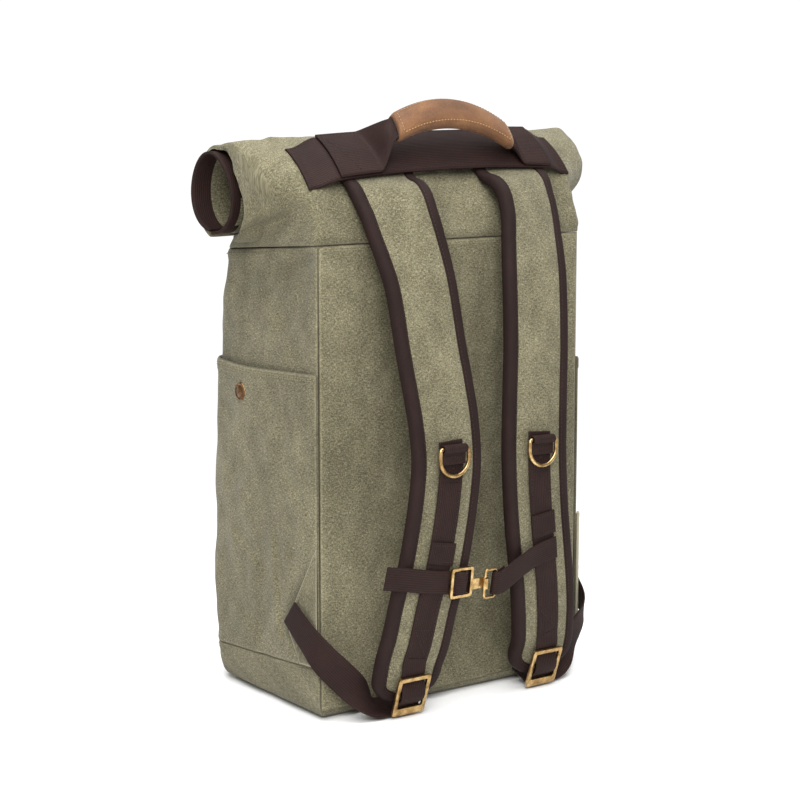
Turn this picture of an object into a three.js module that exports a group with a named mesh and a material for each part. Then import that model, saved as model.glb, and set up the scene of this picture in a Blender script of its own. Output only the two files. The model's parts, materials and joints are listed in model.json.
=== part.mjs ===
// A canvas rolltop backpack, standing on its base.
// Millimetres, +Z up. The origin is the centre of the flat underside, the shoulder straps face -Y
// and the front of the bag faces +Y. Left is -X and right is +X, seen from the strap side.
import * as THREE from 'three';

// Body
const bodyWidth = 280;
const bodyDepth = 182;
const bodyHeight = 391.5;
const canvas = 2.2;
const rearCornerGap = 0.45;
const frontCornerRadius = 25;
const sideBulge = 3;
const frontBulge = 5;
const seamGap = 0.3;
const seamRise = 9;
const seamDrop = 6;

// Base tray
const trayEdgeRadius = 9;
const rearRimHeight = 8;
const traySideRear = 44;
const traySideFront = 33;

// Collar and roll
const collarHeight = 95.5;
const rollReachLeft = 174;
const rollReachRight = 190;
const rollTilt = 8;
const scoopDepth = 9;
const mouthWebbing = 2;
const mouthReach = 8;
const mouthClearance = 0.8;
const mouthCreep = 0.5;

// Side pockets and their snap buttons
const pocketTop = 0.733 * bodyHeight;
const pocketSlack = 5;
const pocketRise = 4;
const pocketWall = 1.8;
const layerGap = 0.4;
const snapRadius = 8;
const snapHeight = 3.2;
const snapY = 16;
const snapZ = pocketTop - 22;

// Shoulder straps
const strapTop = bodyHeight + 0.78 * collarHeight;
const strapStandOff = 49;
const strapSpread = 73;
const strapWidth = 68;
const strapThickness = 10;
const strapEndLength = 24;
const strapRootLength = 60;
const strapTwist = 0.14;
const bindingWall = 1;
const bindingWidth = 10;
const webbingWidth = 24;
const webbingThickness = 1.6;

// D-rings on the straps
const dRingInner = 26;
const dRingWire = 3.4;
const dRingArm = 8;
const dRingZ = 0.485 * strapTop;

// Sternum strap, its slide and its hook
const sternumWidth = 20;
const sternumThickness = 1.5;
const sternumZ = 0.2425 * strapTop;
const slideX = -36;
const slideWidth = 23;
const slideHeight = 26;
const brassThickness = 2.6;
const hookRingX = 1;

// Ladder locks at the lower ends of the straps
const lockWidth = 33;
const lockHeight = 36;
const lockBar = 3.6;
const lockZ = 22.5;

// Adjuster webbing and its wing tab in the lower side seam
const adjusterWidth = 26;
const tabTop = 145;
const tabReach = 42;

// Band across the collar, with the carrying handle
const bandWidth = 49;
const bandThickness = 1.6;
const bandLift = 8.4;
const bandSag = 7;
const bandFoot = 57;
const gripLength = 134;
const gripHeight = 26;
const gripDepth = 14;
const gripWall = 2.6;
const gripRise = 19;
const gripStandOff = 14;
const gripLift = 8;
const gripShift = 7;
const gripLean = 0.6;
const gripSlope = 0.03;

// Strap that holds the roll down at the front
const closureWidth = 25;
const closureDrop = 91.5;
const closureRise = 46.5;
const closureSlack = 2;

const halfWidth = bodyWidth / 2;
const halfDepth = bodyDepth / 2;
const colours = {
  canvas: [0x8f8a6c, 0.9, 0],
  webbing: [0x463530, 0.85, 0],
  leather: [0x96704a, 0.7, 0],
  brass: [0xb08a4e, 0.4, 1],
};

const backpack = new THREE.Group();

const point = (x, y, z) => new THREE.Vector3(x, y, z);
const mix = THREE.MathUtils.lerp;
const smooth = THREE.MathUtils.smoothstep;
const bump = (value, centre, reach) => Math.exp(-(((value - centre) / reach) ** 2));

function add(name, geometry, finish) {
  const [color, roughness, metalness] = colours[finish];
  const mesh = new THREE.Mesh(geometry, new THREE.MeshStandardMaterial({ color, roughness, metalness }));
  mesh.name = name;
  backpack.add(mesh);
  return mesh;
}

// A body from points and triangles, turned so that its faces point out.
function closedBody(points, triangles) {
  const cross = new THREE.Vector3();
  let volume = 0;
  for (const [a, b, c] of triangles) {
    volume += points[a].dot(cross.crossVectors(points[b], points[c]));
  }
  const facing = volume < 0 ? triangles.map(([a, b, c]) => [a, c, b]) : triangles;
  const geometry = new THREE.BufferGeometry();
  geometry.setAttribute('position', new THREE.Float32BufferAttribute(points.flatMap((p) => p.toArray()), 3));
  geometry.setIndex(facing.flat());
  geometry.computeVertexNormals();
  return geometry;
}

// A wall between an outer and an inner grid of points. Columns may close on themselves, and a
// pair of centre points closes the first row of each grid instead of a rim.
function wall(outer, inner, { closed = false, centres = null } = {}) {
  const rows = outer.length;
  const columns = outer[0].length;
  const points = [...outer.flat(), ...inner.flat()];
  const triangles = [];
  const at = (grid, row, column) => grid * rows * columns + row * columns + (column % columns);
  const quad = (a, b, c, d) => triangles.push([a, b, c], [a, c, d]);
  const lastColumn = closed ? columns : columns - 1;
  for (let row = 0; row < rows - 1; row++) {
    for (let column = 0; column < lastColumn; column++) {
      quad(at(0, row, column), at(0, row, column + 1), at(0, row + 1, column + 1), at(0, row + 1, column));
      quad(at(1, row, column), at(1, row + 1, column), at(1, row + 1, column + 1), at(1, row, column + 1));
    }
    if (!closed) {
      quad(at(0, row, 0), at(0, row + 1, 0), at(1, row + 1, 0), at(1, row, 0));
      const end = columns - 1;
      quad(at(0, row, end), at(1, row, end), at(1, row + 1, end), at(0, row + 1, end));
    }
  }
  for (let column = 0; column < lastColumn; column++) {
    const end = rows - 1;
    quad(at(0, end, column), at(0, end, column + 1), at(1, end, column + 1), at(1, end, column));
    if (!centres) {
      quad(at(0, 0, column), at(1, 0, column), at(1, 0, column + 1), at(0, 0, column + 1));
    }
  }
  if (centres) {
    const first = points.length;
    points.push(...centres);
    for (let column = 0; column < lastColumn; column++) {
      triangles.push([first, at(0, 0, column + 1), at(0, 0, column)]);
      triangles.push([first + 1, at(1, 0, column), at(1, 0, column + 1)]);
    }
  }
  return closedBody(points, triangles);
}

// The triangles that fill a section whose second half goes back along its first half.
function stripCap(sides) {
  const triangles = [];
  for (let side = 0; side < sides / 2 - 1; side++) {
    const far = sides - 1 - side;
    triangles.push([side, side + 1, far - 1], [side, far - 1, far]);
  }
  return triangles;
}

// A bar through rings of points, all with the outline of one flat section. A looped bar closes on
// itself, and any other is capped at both ends.
function bar(rings, section, looped = false, cap = THREE.ShapeUtils.triangulateShape(section, [])) {
  const sides = section.length;
  const points = rings.flat();
  const triangles = [];
  const steps = looped ? rings.length : rings.length - 1;
  for (let step = 0; step < steps; step++) {
    const near = step * sides;
    const far = ((step + 1) % rings.length) * sides;
    for (let side = 0; side < sides; side++) {
      const next = (side + 1) % sides;
      triangles.push([near + side, near + next, far + next], [near + side, far + next, far + side]);
    }
  }
  if (!looped) {
    const last = (rings.length - 1) * sides;
    for (const [a, b, c] of cap) {
      triangles.push([a, c, b], [last + a, last + b, last + c]);
    }
  }
  return closedBody(points, triangles);
}

const rectangle = (width, thickness) => [
  new THREE.Vector2(-width / 2, -thickness / 2),
  new THREE.Vector2(width / 2, -thickness / 2),
  new THREE.Vector2(width / 2, thickness / 2),
  new THREE.Vector2(-width / 2, thickness / 2),
];

// A flat strap through stations, each with a point, the direction of its width, a width and a
// thickness. The stations are joined by a smooth curve of so many steps.
function strap(stations, steps) {
  const path = new THREE.CatmullRomCurve3(stations.map((s) => s.at), false, 'centripetal');
  const spread = new THREE.CatmullRomCurve3(stations.map((s) => s.across), false, 'catmullrom', 0.3);
  const rings = [];
  for (let step = 0; step <= steps; step++) {
    const t = step / steps;
    const place = t * (stations.length - 1);
    const low = Math.min(Math.floor(place), stations.length - 2);
    const width = mix(stations[low].width, stations[low + 1].width, place - low);
    const thickness = mix(stations[low].thickness, stations[low + 1].thickness, place - low);
    const along = path.getTangent(t);
    const across = spread.getPoint(t);
    across.addScaledVector(along, -across.dot(along)).normalize();
    const up = new THREE.Vector3().crossVectors(along, across);
    rings.push(rectangle(width, thickness).map((c) => path.getPoint(t).addScaledVector(across, c.x)
      .addScaledVector(up, c.y)));
  }
  return bar(rings, rectangle(1, 1));
}

// The seam between body and collar rises to the right and falls to the front.
const seamHeight = (x, y) => bodyHeight + (seamRise / 2) * (x / halfWidth) - (seamDrop / 2) * (y / halfDepth);

// How far the front face stands from the middle, as shares of half the depth.
const frontProfile = [
  { height: 0, reach: 0.95 },
  { height: 0.1, reach: 0.965 },
  { height: 0.28, reach: 0.985 },
  { height: 0.51, reach: 0.955 },
  { height: 0.72, reach: 0.9 },
  { height: 0.9, reach: 0.825 },
  { height: 1, reach: 0.715 },
];

// Soft dents pressed into the side panels: where, how deep and how wide, as shares of the body.
const sideDents = [
  { height: 0.955, depth: 0.2, push: 4, tall: 0.04, wide: 0.22 },
  { height: 0.2, depth: 0.45, push: 2.2, tall: 0.13, wide: 0.05 },
];

function frontReach(z) {
  const height = THREE.MathUtils.clamp(z / bodyHeight, 0, 1);
  const row = Math.max(1, frontProfile.findIndex((r) => r.height >= height));
  const [low, high] = [frontProfile[row - 1], frontProfile[row]];
  return halfDepth * mix(low.reach, high.reach, (height - low.height) / (high.height - low.height));
}

function sideSwell(y, z) {
  const height = z / bodyHeight;
  const depth = (y + halfDepth) / bodyDepth;
  const held = Math.max(0, Math.sin(Math.PI * height)) * Math.max(0, Math.sin(Math.PI * depth)) ** 0.5;
  let swell = sideBulge * held;
  for (const dent of sideDents) {
    swell -= dent.push * bump(height, dent.height, dent.tall) * bump(depth, dent.depth, dent.wide)
      * smooth(depth, 0, 0.12);
  }
  return swell;
}

// A point of a side wall: share 0 is the rear corner, 1 the end of the front corner's round.
const roundShare = 0.78;
function sidePoint(side, share, z, out) {
  const front = frontReach(z);
  const rear = -halfDepth - out + rearCornerGap;
  const straightEnd = front - frontCornerRadius;
  if (share <= roundShare) {
    const y = mix(rear, straightEnd, share / roundShare);
    return point(side * (halfWidth + out + sideSwell(y, z) * (1 - (share / roundShare) ** 6)), y, z);
  }
  const turn = ((share - roundShare) / (1 - roundShare)) * (Math.PI / 2);
  const radius = frontCornerRadius + out;
  const x = halfWidth - frontCornerRadius + radius * Math.cos(turn);
  return point(side * (x - (turn > 1.5 ? seamGap / 2 : 0)), straightEnd + radius * Math.sin(turn), z);
}

function frontPoint(share, z, out) {
  const held = Math.sin(Math.PI * Math.min(1, z / bodyHeight));
  const x = mix(-1, 1, share) * (halfWidth - frontCornerRadius - seamGap / 2);
  return point(x, frontReach(z) + out + frontBulge * held * Math.sin(Math.PI * share), z);
}

function backPoint(share, z, out) {
  return point(mix(-1, 1, share) * (halfWidth + out), -halfDepth - out, z);
}

const sideColumns = [0, 0.1, 0.22, 0.35, 0.49, 0.63, roundShare, 0.85, 0.925, 1];
const even = (count) => Array.from({ length: count + 1 }, (_, index) => index / count);
const trayTop = (y) => mix(traySideRear, traySideFront, (y + halfDepth) / bodyDepth);

const panelRows = 11;
function bodyPanel(place, columns, bottom) {
  const grid = (out) => even(panelRows).map((row) => columns.map((share) => {
    const guess = place(share, bodyHeight, out);
    const top = seamHeight(guess.x, guess.y) - seamGap / 2;
    return place(share, mix(bottom(guess.y) + seamGap / 2, top, row), out);
  }));
  return wall(grid(0), grid(-canvas));
}

add('back_panel', bodyPanel(backPoint, even(4), () => rearRimHeight), 'canvas');
add('front_panel', bodyPanel(frontPoint, even(8), () => traySideFront), 'canvas');
for (const [name, side] of [['left', -1], ['right', 1]]) {
  const place = (share, z, out) => sidePoint(side, share, z, out);
  add(`side_panel_${name}`, bodyPanel(place, sideColumns, trayTop), 'canvas');
}

// The base is a tray: a flat underside with a rounded edge and an upturned rim.
function baseTray() {
  const column = (place, share, top) => ({ at: (z, out) => place(share, z, out), top });
  const left = (share, z, out) => sidePoint(-1, share, z, out);
  const right = (share, z, out) => sidePoint(1, share, z, out);
  const columns = [
    ...even(4).map((share) => column(backPoint, share, () => rearRimHeight)),
    ...sideColumns.map((share) => column(right, share, trayTop)),
    ...even(8).map((share) => column(frontPoint, 1 - share, () => traySideFront)),
    ...[...sideColumns].reverse().map((share) => column(left, share, trayTop)),
  ];
  const grid = (out) => {
    const radius = trayEdgeRadius + out;
    const levels = even(2).map((share) => share * (Math.PI / 2));
    const edge = levels.map((turn) => columns.map(({ at }) => {
      const shift = out - radius * (1 - Math.sin(turn));
      return at(Math.max(0, trayEdgeRadius - radius * Math.cos(turn)), shift);
    }));
    const rim = columns.map(({ at, top }) => at(top(at(traySideFront, out).y) - seamGap / 2, out));
    return [...edge, rim];
  };
  return wall(grid(0), grid(-canvas), { closed: true, centres: [point(0, 0, 0), point(0, 0, canvas)] });
}
add('base_panel', baseTray(), 'canvas');

// Sections of the collar from its seam to the end of the roll. Back and front are the outer faces
// in the middle of the bag, as shares of half the depth and of the collar's height above the seam.
// Flare is the share of the reach past the body, shoulder how square the side's fold is.
const collarSections = [
  { back: [-1, 0.031], front: [0.715, -0.026], flare: 0, shoulder: 0, corner: 1 },
  { back: [-1.005, 0.12], front: [0.6, 0.04], flare: 0.08, shoulder: 0.1, corner: 0.9 },
  { back: [-0.967, 0.262], front: [0.47, 0.085], flare: 0.17, shoulder: 0.2, corner: 0.75 },
  { back: [-0.912, 0.398], front: [0.33, 0.09], flare: 0.35, shoulder: 0.3, corner: 0.6 },
  { back: [-0.857, 0.513], front: [0.12, 0.055], flare: 0.62, shoulder: 0.4, corner: 0.45 },
  { back: [-0.758, 0.639], front: [-0.12, 0.1], flare: 0.84, shoulder: 0.5, corner: 0.32 },
  { back: [-0.637, 0.754], front: [-0.24, 0.25], flare: 0.94, shoulder: 0.6, corner: 0.2 },
  { back: [-0.484, 0.859], front: [-0.25, 0.48], flare: 0.97, shoulder: 0.7, corner: 0.12 },
  { back: [-0.308, 0.937], front: [-0.187, 0.7], flare: 0.98, shoulder: 0.8, corner: 0.08 },
  { back: [-0.154, 0.984], front: [-0.105, 0.86], flare: 0.99, shoulder: 0.9, corner: 0.04 },
];

// The closed part of the collar is two layers, wound forward round a core: the middle line of the
// winding, its radii, and the turn at which the canvas and the webbing of the mouth end.
const windingY = 13;
const windingZ = 0.545;
const windingRadiusY = 31;
const windingRadiusZ = 40;
const layerPair = 2 * canvas + 1;
const canvasTurns = even(8).map((share) => mix(1.75, -1.25, share));
const mouthTurns = even(22).map((share) => mix(-1.45, -7.6, share));

const reach = (side) => (side < 0 ? rollReachLeft : rollReachRight);

// The collar tilts up to the right, more and more from its seam to half its height.
function tiltAt(z) {
  const raised = THREE.MathUtils.clamp((z - bodyHeight) / (collarHeight * 0.5), 0, 1);
  return mix(seamRise / 2, rollTilt, raised);
}
const collarZ = (share) => bodyHeight + share * collarHeight;

// One section: points round the collar, from the left rear corner by the back, right and front.
function collarRing(section, inset) {
  const back = point(0, section.back[0] * halfDepth, collarZ(section.back[1]));
  const front = point(0, section.front[0] * halfDepth, collarZ(section.front[1]));
  return ringBetween(back, front, section, inset, tiltAt);
}

function ringBetween(back, front, { flare, shoulder, corner }, inset, tilt) {
  const deep = back.distanceTo(front);
  const shrink = (deep - 2 * inset) / deep;
  const half = (side) => halfWidth + flare * (reach(side) - halfWidth);
  const outline = [];
  const place = (x, share) => {
    const side = Math.sign(x) || 1;
    const kept = x * ((half(side) - inset) / half(side));
    const centred = 0.5 + (share - 0.5) * shrink;
    const p = back.clone().lerp(front, centred);
    outline.push(point(kept, p.y, p.z + tilt(p.z) * (kept / halfWidth)));
  };
  for (const share of even(5).slice(0, -1)) {
    place(mix(-halfWidth, halfWidth, share), 0);
  }
  const round = Math.min(corner * frontCornerRadius, deep * 0.45);
  const sideTurn = (side) => {
    const points = [];
    const edge = half(side);
    const weight = mix(1, 5, shoulder);
    for (const t of even(5)) {
      const bend = 2 * t * (1 - t) * weight;
      const total = (1 - t) ** 2 + bend + t ** 2;
      const x = ((1 - t) ** 2 * halfWidth + (bend + t ** 2) * edge) / total;
      const share = (bend * mix(0.5, 0.02, shoulder) + t ** 2) / total;
      points.push([side * x, share * (1 - round / deep)]);
    }
    for (const t of [1 / 3, 2 / 3, 1]) {
      const turn = (t * Math.PI) / 2;
      const x = edge - Math.min(round, edge) * (1 - Math.cos(turn));
      points.push([side * x, 1 - (round / deep) * (1 - Math.sin(turn))]);
    }
    return points;
  };
  for (const [x, share] of sideTurn(1)) {
    place(x, share);
  }
  const rightEnd = half(1) - round;
  const leftEnd = -(half(-1) - round);
  for (const share of even(5).slice(1, -1)) {
    place(mix(rightEnd, leftEnd, share), 1);
  }
  for (const [x, share] of sideTurn(-1).reverse().slice(0, -1)) {
    place(x, share);
  }
  return outline;
}

// A point of the winding at a turn in radians, 0 at the front and rising over the top, on the
// outer layer or so far inside it.
function windingPoint(turn, inside) {
  return point(
    0,
    windingY + (windingRadiusY - inside) * Math.cos(turn),
    collarZ(windingZ) + (windingRadiusZ - inside) * Math.sin(turn),
  );
}

// The scoop pressed into each side of the collar under the flaring end of the roll.
function scoop(p) {
  const out = Math.abs(p.x) - halfWidth * 0.97;
  const level = bump(p.z - bodyHeight, collarHeight * 0.3, collarHeight * 0.15);
  const depth = scoopDepth * smooth(out, 0, 4) * level * bump(p.y, -halfDepth * 0.5, halfDepth * 0.3);
  return p.setX(p.x - Math.sign(p.x) * depth);
}

function rollCollar() {
  const grid = (inset) => {
    const rows = collarSections.map((section, index) => collarRing(section, inset)
      .map((p) => (index === 0 ? p.setZ(seamHeight(p.x, p.y) + seamGap / 2) : scoop(p))));
    for (const turn of canvasTurns) {
      const section = { flare: 1, shoulder: 1, corner: 0.03 };
      const [outer, inner] = [windingPoint(turn, 0), windingPoint(turn, layerPair)];
      rows.push(ringBetween(outer, inner, section, inset, () => rollTilt));
    }
    return rows;
  };
  return wall(grid(0), grid(canvas), { closed: true });
}
add('roll_collar', rollCollar(), 'canvas');

// The webbing along the mouth winds on inside the canvas and stands out at both ends of the roll.
function mouthBinding() {
  const start = layerPair + mouthClearance;
  const rows = (inside) => mouthTurns.map((turn, index) => {
    const wound = start + mouthCreep * (index / (mouthTurns.length - 1));
    const ease = mix(-1.5, 0, smooth(index, 0, 3));
    const p = windingPoint(turn, wound + inside + ease);
    return [-1, 1].map((side) => {
      const x = side * (reach(side) + mouthReach);
      return point(x, p.y, p.z + rollTilt * (x / halfWidth));
    });
  });
  return wall(rows(0), rows(mouthWebbing));
}
add('mouth_binding', mouthBinding(), 'webbing');

// The back of the collar as a surface: so far up it from the seam, and so far off it.
const collarLine = new THREE.CatmullRomCurve3(collarSections
  .map(({ back }) => point(0, back[0] * halfDepth, collarZ(back[1]))), false, 'centripetal');
const collarLineLength = collarLine.getLength();
function collarBack(x, rise, off) {
  const p = collarLine.getPointAt(rise / collarLineLength);
  const up = collarLine.getTangentAt(rise / collarLineLength);
  return point(x, p.y - up.z * off, p.z + up.y * off + tiltAt(p.z) * (x / halfWidth));
}

// Side pockets: a slack canvas wall over each side panel, open at the top, with a snap button.
const sides = [['left', -1], ['right', 1]];
const pocketRear = 0.014;
const pocketFront = 0.985;
const pocketColumns = [pocketRear, ...sideColumns.slice(1, -1), pocketFront];

function pocketPoint(side, share, z, lift) {
  const height = THREE.MathUtils.clamp((z - traySideFront) / (pocketTop - traySideFront), 0, 1);
  const across = Math.sin(Math.PI * Math.min(1, share / 0.95)) ** 2;
  const slack = pocketSlack * across * (0.25 * Math.sin(Math.PI * height) + 0.75 * height ** 3);
  return sidePoint(side, share, z, layerGap + slack + lift);
}

function sideShare(y, z) {
  const rear = rearCornerGap - halfDepth;
  return ((y - rear) / (frontReach(z) - frontCornerRadius - rear)) * roundShare;
}

function sidePocket(side) {
  const grid = (lift) => even(8).map((row) => pocketColumns.map((share) => {
    const y = sidePoint(side, share, traySideRear, 0).y;
    const z = mix(trayTop(y) + seamGap, pocketTop + pocketRise * smooth(share, 0.5, 1), row);
    return pocketPoint(side, share, z, lift);
  }));
  return wall(grid(pocketWall), grid(0));
}

function snapButton() {
  const dome = [[0, 0], [snapRadius, 0], [snapRadius, 0.9], [snapRadius - 1, snapHeight * 0.6],
    [snapRadius * 0.55, snapHeight * 0.85], [0, snapHeight]];
  return new THREE.LatheGeometry(dome.map(([r, h]) => new THREE.Vector2(r, h)), 16);
}

for (const [name, side] of sides) {
  add(`side_pocket_${name}`, sidePocket(side), 'canvas');
  const snap = add(`snap_${name}`, snapButton(), 'brass');
  const seat = pocketPoint(side, sideShare(snapY, snapZ), snapZ, pocketWall + layerGap);
  snap.position.set(seat.x, snapY, snapZ);
  snap.rotation.z = -side * (Math.PI / 2);
}

// The middle line of a shoulder strap below the band, down to its lower end. Height is a share of
// strapTop, stand a share of strapStandOff behind the back panel, spread a share of strapSpread.
const strapRoute = [
  { height: 0.94, stand: 0, spread: 0.963 },
  { height: 0.914, stand: 0.2, spread: 0.955 },
  { height: 0.88, stand: 0.345, spread: 0.937 },
  { height: 0.837, stand: 0.48, spread: 0.896 },
  { height: 0.777, stand: 0.64, spread: 0.841 },
  { height: 0.655, stand: 0.816, spread: 0.77 },
  { height: 0.59, stand: 0.898, spread: 0.716 },
  { height: 0.526, stand: 0.967, spread: 0.67 },
  { height: 0.461, stand: 1, spread: 0.649 },
  { height: 0.397, stand: 0.985, spread: 0.677 },
  { height: 0.333, stand: 0.953, spread: 0.729 },
  { height: 0.268, stand: 0.912, spread: 0.8 },
  { height: 0.204, stand: 0.837, spread: 0.888 },
  { height: 0.139, stand: 0.755, spread: 0.957 },
  { height: 0.097, stand: 0.653, spread: 1 },
  { height: 0.054, stand: 0.531, spread: 1 },
  { height: 0.026, stand: 0.439, spread: 1 },
];

// Half of the flattened root of a strap, with its tape, off the collar.
const tapeSeat = 0.4;
const rootShare = 0.3;
const tapeGap = 0.45;
const strapRootOff = rootShare * strapThickness * tapeSeat + tapeGap + bindingWall + 2 * layerGap;

// A shoulder strap as a surface: at(along, across, off) is a point so far down the strap, so far
// from its middle line towards the outside of the bag, and so far off its middle layer.
function strapSurface(side) {
  const root = side * strapRoute[0].spread * strapSpread;
  const sewn = [0.58, 0.28, -0.03].map((share) => {
    const p = collarBack(0, bandFoot + share * bandWidth, strapRootOff);
    return p.setX(root);
  });
  const free = strapRoute.map((row) => point(
    side * row.spread * strapSpread,
    -halfDepth - row.stand * strapStandOff,
    row.height * strapTop,
  ));
  const route = new THREE.CatmullRomCurve3([...sewn, ...free], false, 'centripetal');
  route.arcLengthDivisions = 400;
  const length = route.getLength();
  const frame = (along) => {
    const share = THREE.MathUtils.clamp(along / length, 0, 1);
    const middle = route.getPointAt(share);
    const down = route.getTangentAt(share);
    middle.addScaledVector(down, along - share * length);
    const out = point(0, -1, 0).addScaledVector(down, down.y).normalize();
    const across = new THREE.Vector3().crossVectors(down, out).multiplyScalar(side).normalize();
    across.multiplyScalar(Math.sign(across.x * side));
    const past = along / strapRootLength;
    const turn = strapTwist * smooth(past, 0.57, 1.03) * (1 - smooth(past, 1.03, 2.17));
    return {
      middle,
      down,
      out: out.clone().multiplyScalar(Math.cos(turn)).addScaledVector(across, Math.sin(turn)),
      across: across.clone().multiplyScalar(Math.cos(turn)).addScaledVector(out, -Math.sin(turn)),
    };
  };
  const at = (along, across, off) => {
    const f = frame(along);
    const p = f.middle.addScaledVector(f.across, across).addScaledVector(f.out, off);
    const rise = p.z > bodyHeight ? tiltAt(p.z) : (seamRise / 2) * smooth(p.z, bodyHeight * 0.69, bodyHeight);
    return p.setZ(p.z + rise * (p.x / halfWidth));
  };
  const alongAt = (z) => {
    let [low, high] = [0, length];
    for (let pass = 0; pass < 30; pass++) {
      const half = (low + high) / 2;
      if (at(half, 0, 0).z > z) {
        low = half;
      } else {
        high = half;
      }
    }
    return low;
  };
  return { at, frame, alongAt, length };
}

// Half the strap's width and its thickness, so far down it. Both ends under the band are flat.
function strapHalfWidth(along, length, inset) {
  const flare = mix(1.1, 1, smooth(along / strapRootLength, 0.17, 1.33));
  const full = (strapWidth / 2) * flare - inset;
  const past = (along - (length - strapEndLength)) / (strapEndLength - inset);
  return past <= 0 ? full : full * Math.sqrt(Math.max(0, 1 - past ** 2));
}
const strapDepth = (along) => mix(rootShare, 1, smooth(along / strapRootLength, 0.43, 0.87)) * strapThickness;

// Stations down the straight part of a strap, closer together on the bent root.
const strapStops = (straight) => [...even(5).map((share) => share * strapRootLength),
  ...even(11).slice(1).map((share) => mix(strapRootLength, straight, share))];

function strapPad({ at, length }) {
  const inset = bindingWall + seamGap;
  const raisedInset = bindingWidth + 2;
  const straight = length - strapEndLength;
  const stations = [...strapStops(straight),
    ...[0.2, 0.4, 0.6, 0.8, 0.95].map((share) => straight
      + (strapEndLength - inset) * Math.sin((share * Math.PI) / 2))];
  const rings = stations.map((along) => {
    const half = Math.max(2, strapHalfWidth(along, length, inset));
    const raised = along < length - raisedInset - 0.5 ? strapHalfWidth(along, length, raisedInset) : 0;
    const low = strapDepth(along) * tapeSeat;
    const high = raised > 0 ? strapDepth(along) / 2 : low;
    const crown = Math.max(raised - 2, half * 0.2);
    const foot = Math.max(raised, half * 0.4);
    const face = [[-half, low], [-foot, low], [-crown, high], [crown, high], [foot, low], [half, low]];
    return [...face, ...[...face].reverse().map(([across, off]) => [across, -off])]
      .map(([across, off]) => at(along, across, off));
  });
  return bar(rings, rings[0], false, stripCap(rings[0].length));
}

// The tape folded over the strap's edge, down one side, round the lower end and up the other.
function strapBinding({ at, length }) {
  const straight = length - strapEndLength;
  const half = strapWidth / 2;
  const edge = [
    ...strapStops(straight).map((along) => [along, -strapHalfWidth(along, length, 0)]),
    ...even(10).slice(1, -1).map((share) => [straight + strapEndLength * Math.sin(Math.PI * share),
      -half * Math.cos(Math.PI * share)]),
    ...strapStops(straight).reverse().map((along) => [along, strapHalfWidth(along, length, 0)]),
  ];
  const rings = edge.map(([along, across], index) => {
    const before = edge[Math.max(0, index - 1)];
    const after = edge[Math.min(edge.length - 1, index + 1)];
    const run = new THREE.Vector2(after[0] - before[0], after[1] - before[1]).normalize();
    const inward = [-run.y, run.x];
    const low = strapDepth(along) * tapeSeat + tapeGap;
    const high = low + bindingWall;
    const section = [[0, high], [0, -high], [bindingWidth, -high], [bindingWidth, -low],
      [bindingWall, -low], [bindingWall, low], [bindingWidth, low], [bindingWidth, high]];
    return section.map(([into, off]) => at(along + inward[0] * into, across + inward[1] * into, off));
  });
  const outline = [[0, 4], [0, -4], [9, -4], [9, -3], [1, -3], [1, 3], [9, 3], [9, 4]];
  return bar(rings, outline.map(([x, y]) => new THREE.Vector2(x, y)));
}

// A flat webbing on the strap's face, from one height to another, so far off the middle layer.
function strapTape({ at, alongAt }, { from, to, width, thickness, off, steps }) {
  const [start, end] = [alongAt(from), alongAt(to)];
  const rings = even(steps).map((share) => rectangle(width, thickness)
    .map((c) => at(mix(start, end, share), c.x, off(share) + c.y)));
  return bar(rings, rectangle(1, 1));
}

const tapeLift = 1.1;
const faceOff = strapThickness / 2 + layerGap + tapeLift;
const tapeFront = faceOff + webbingThickness / 2;
const lockLift = 4;
const lockOff = faceOff + lockLift;
const loopRadius = dRingWire / 2 + layerGap + webbingThickness;
const ringOff = tapeFront + seamGap + loopRadius;

// The webbing loop that holds a D-ring: closed round the ring's bar, with a flat tail below it.
function ringLoop() {
  const tail = 13;
  const outline = new THREE.Shape();
  outline.moveTo(0, 0);
  outline.absarc(0, loopRadius, loopRadius, -Math.PI / 2, Math.PI * 1.2, false);
  outline.lineTo(-tail, webbingThickness * 0.95);
  outline.lineTo(-tail, 0);
  const eye = new THREE.Path();
  eye.absarc(0, loopRadius, loopRadius - webbingThickness + 0.05, 0, Math.PI * 2, true);
  outline.holes.push(eye);
  const loop = new THREE.ExtrudeGeometry(outline, { depth: webbingWidth, bevelEnabled: false, curveSegments: 6 });
  return loop.translate(0, 0, -webbingWidth / 2);
}

// A D-ring in its own plane: a straight bar at the top, two arms and a half circle below.
function dRing() {
  const reachX = (dRingInner + dRingWire) / 2;
  const corner = 2.6;
  const line = [];
  for (const share of even(2)) {
    const turn = share * (Math.PI / 2);
    line.push([reachX - corner + corner * Math.sin(turn), corner * (Math.cos(turn) - 1)]);
  }
  for (const share of even(10)) {
    const turn = share * Math.PI;
    line.push([reachX * Math.cos(turn), -dRingArm - reachX * Math.sin(turn)]);
  }
  for (const share of even(2)) {
    const turn = (1 - share) * (Math.PI / 2);
    line.push([-(reachX - corner + corner * Math.sin(turn)), corner * (Math.cos(turn) - 1)]);
  }
  return wireLoop(line, dRingWire / 2, 6);
}

// A round wire along a closed line in the XZ plane.
function wireLoop(line, radius, sideCount) {
  const round = even(sideCount).slice(0, -1).map((share) => {
    const turn = share * 2 * Math.PI;
    return new THREE.Vector2(radius * Math.cos(turn), radius * Math.sin(turn));
  });
  const rings = line.map(([x, z], index) => {
    const before = line[(index + line.length - 1) % line.length];
    const after = line[(index + 1) % line.length];
    const run = new THREE.Vector2(after[0] - before[0], after[1] - before[1]).normalize();
    return round.map((c) => point(x - run.y * c.x, c.y, z + run.x * c.x));
  });
  return bar(rings, round, true);
}

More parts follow.
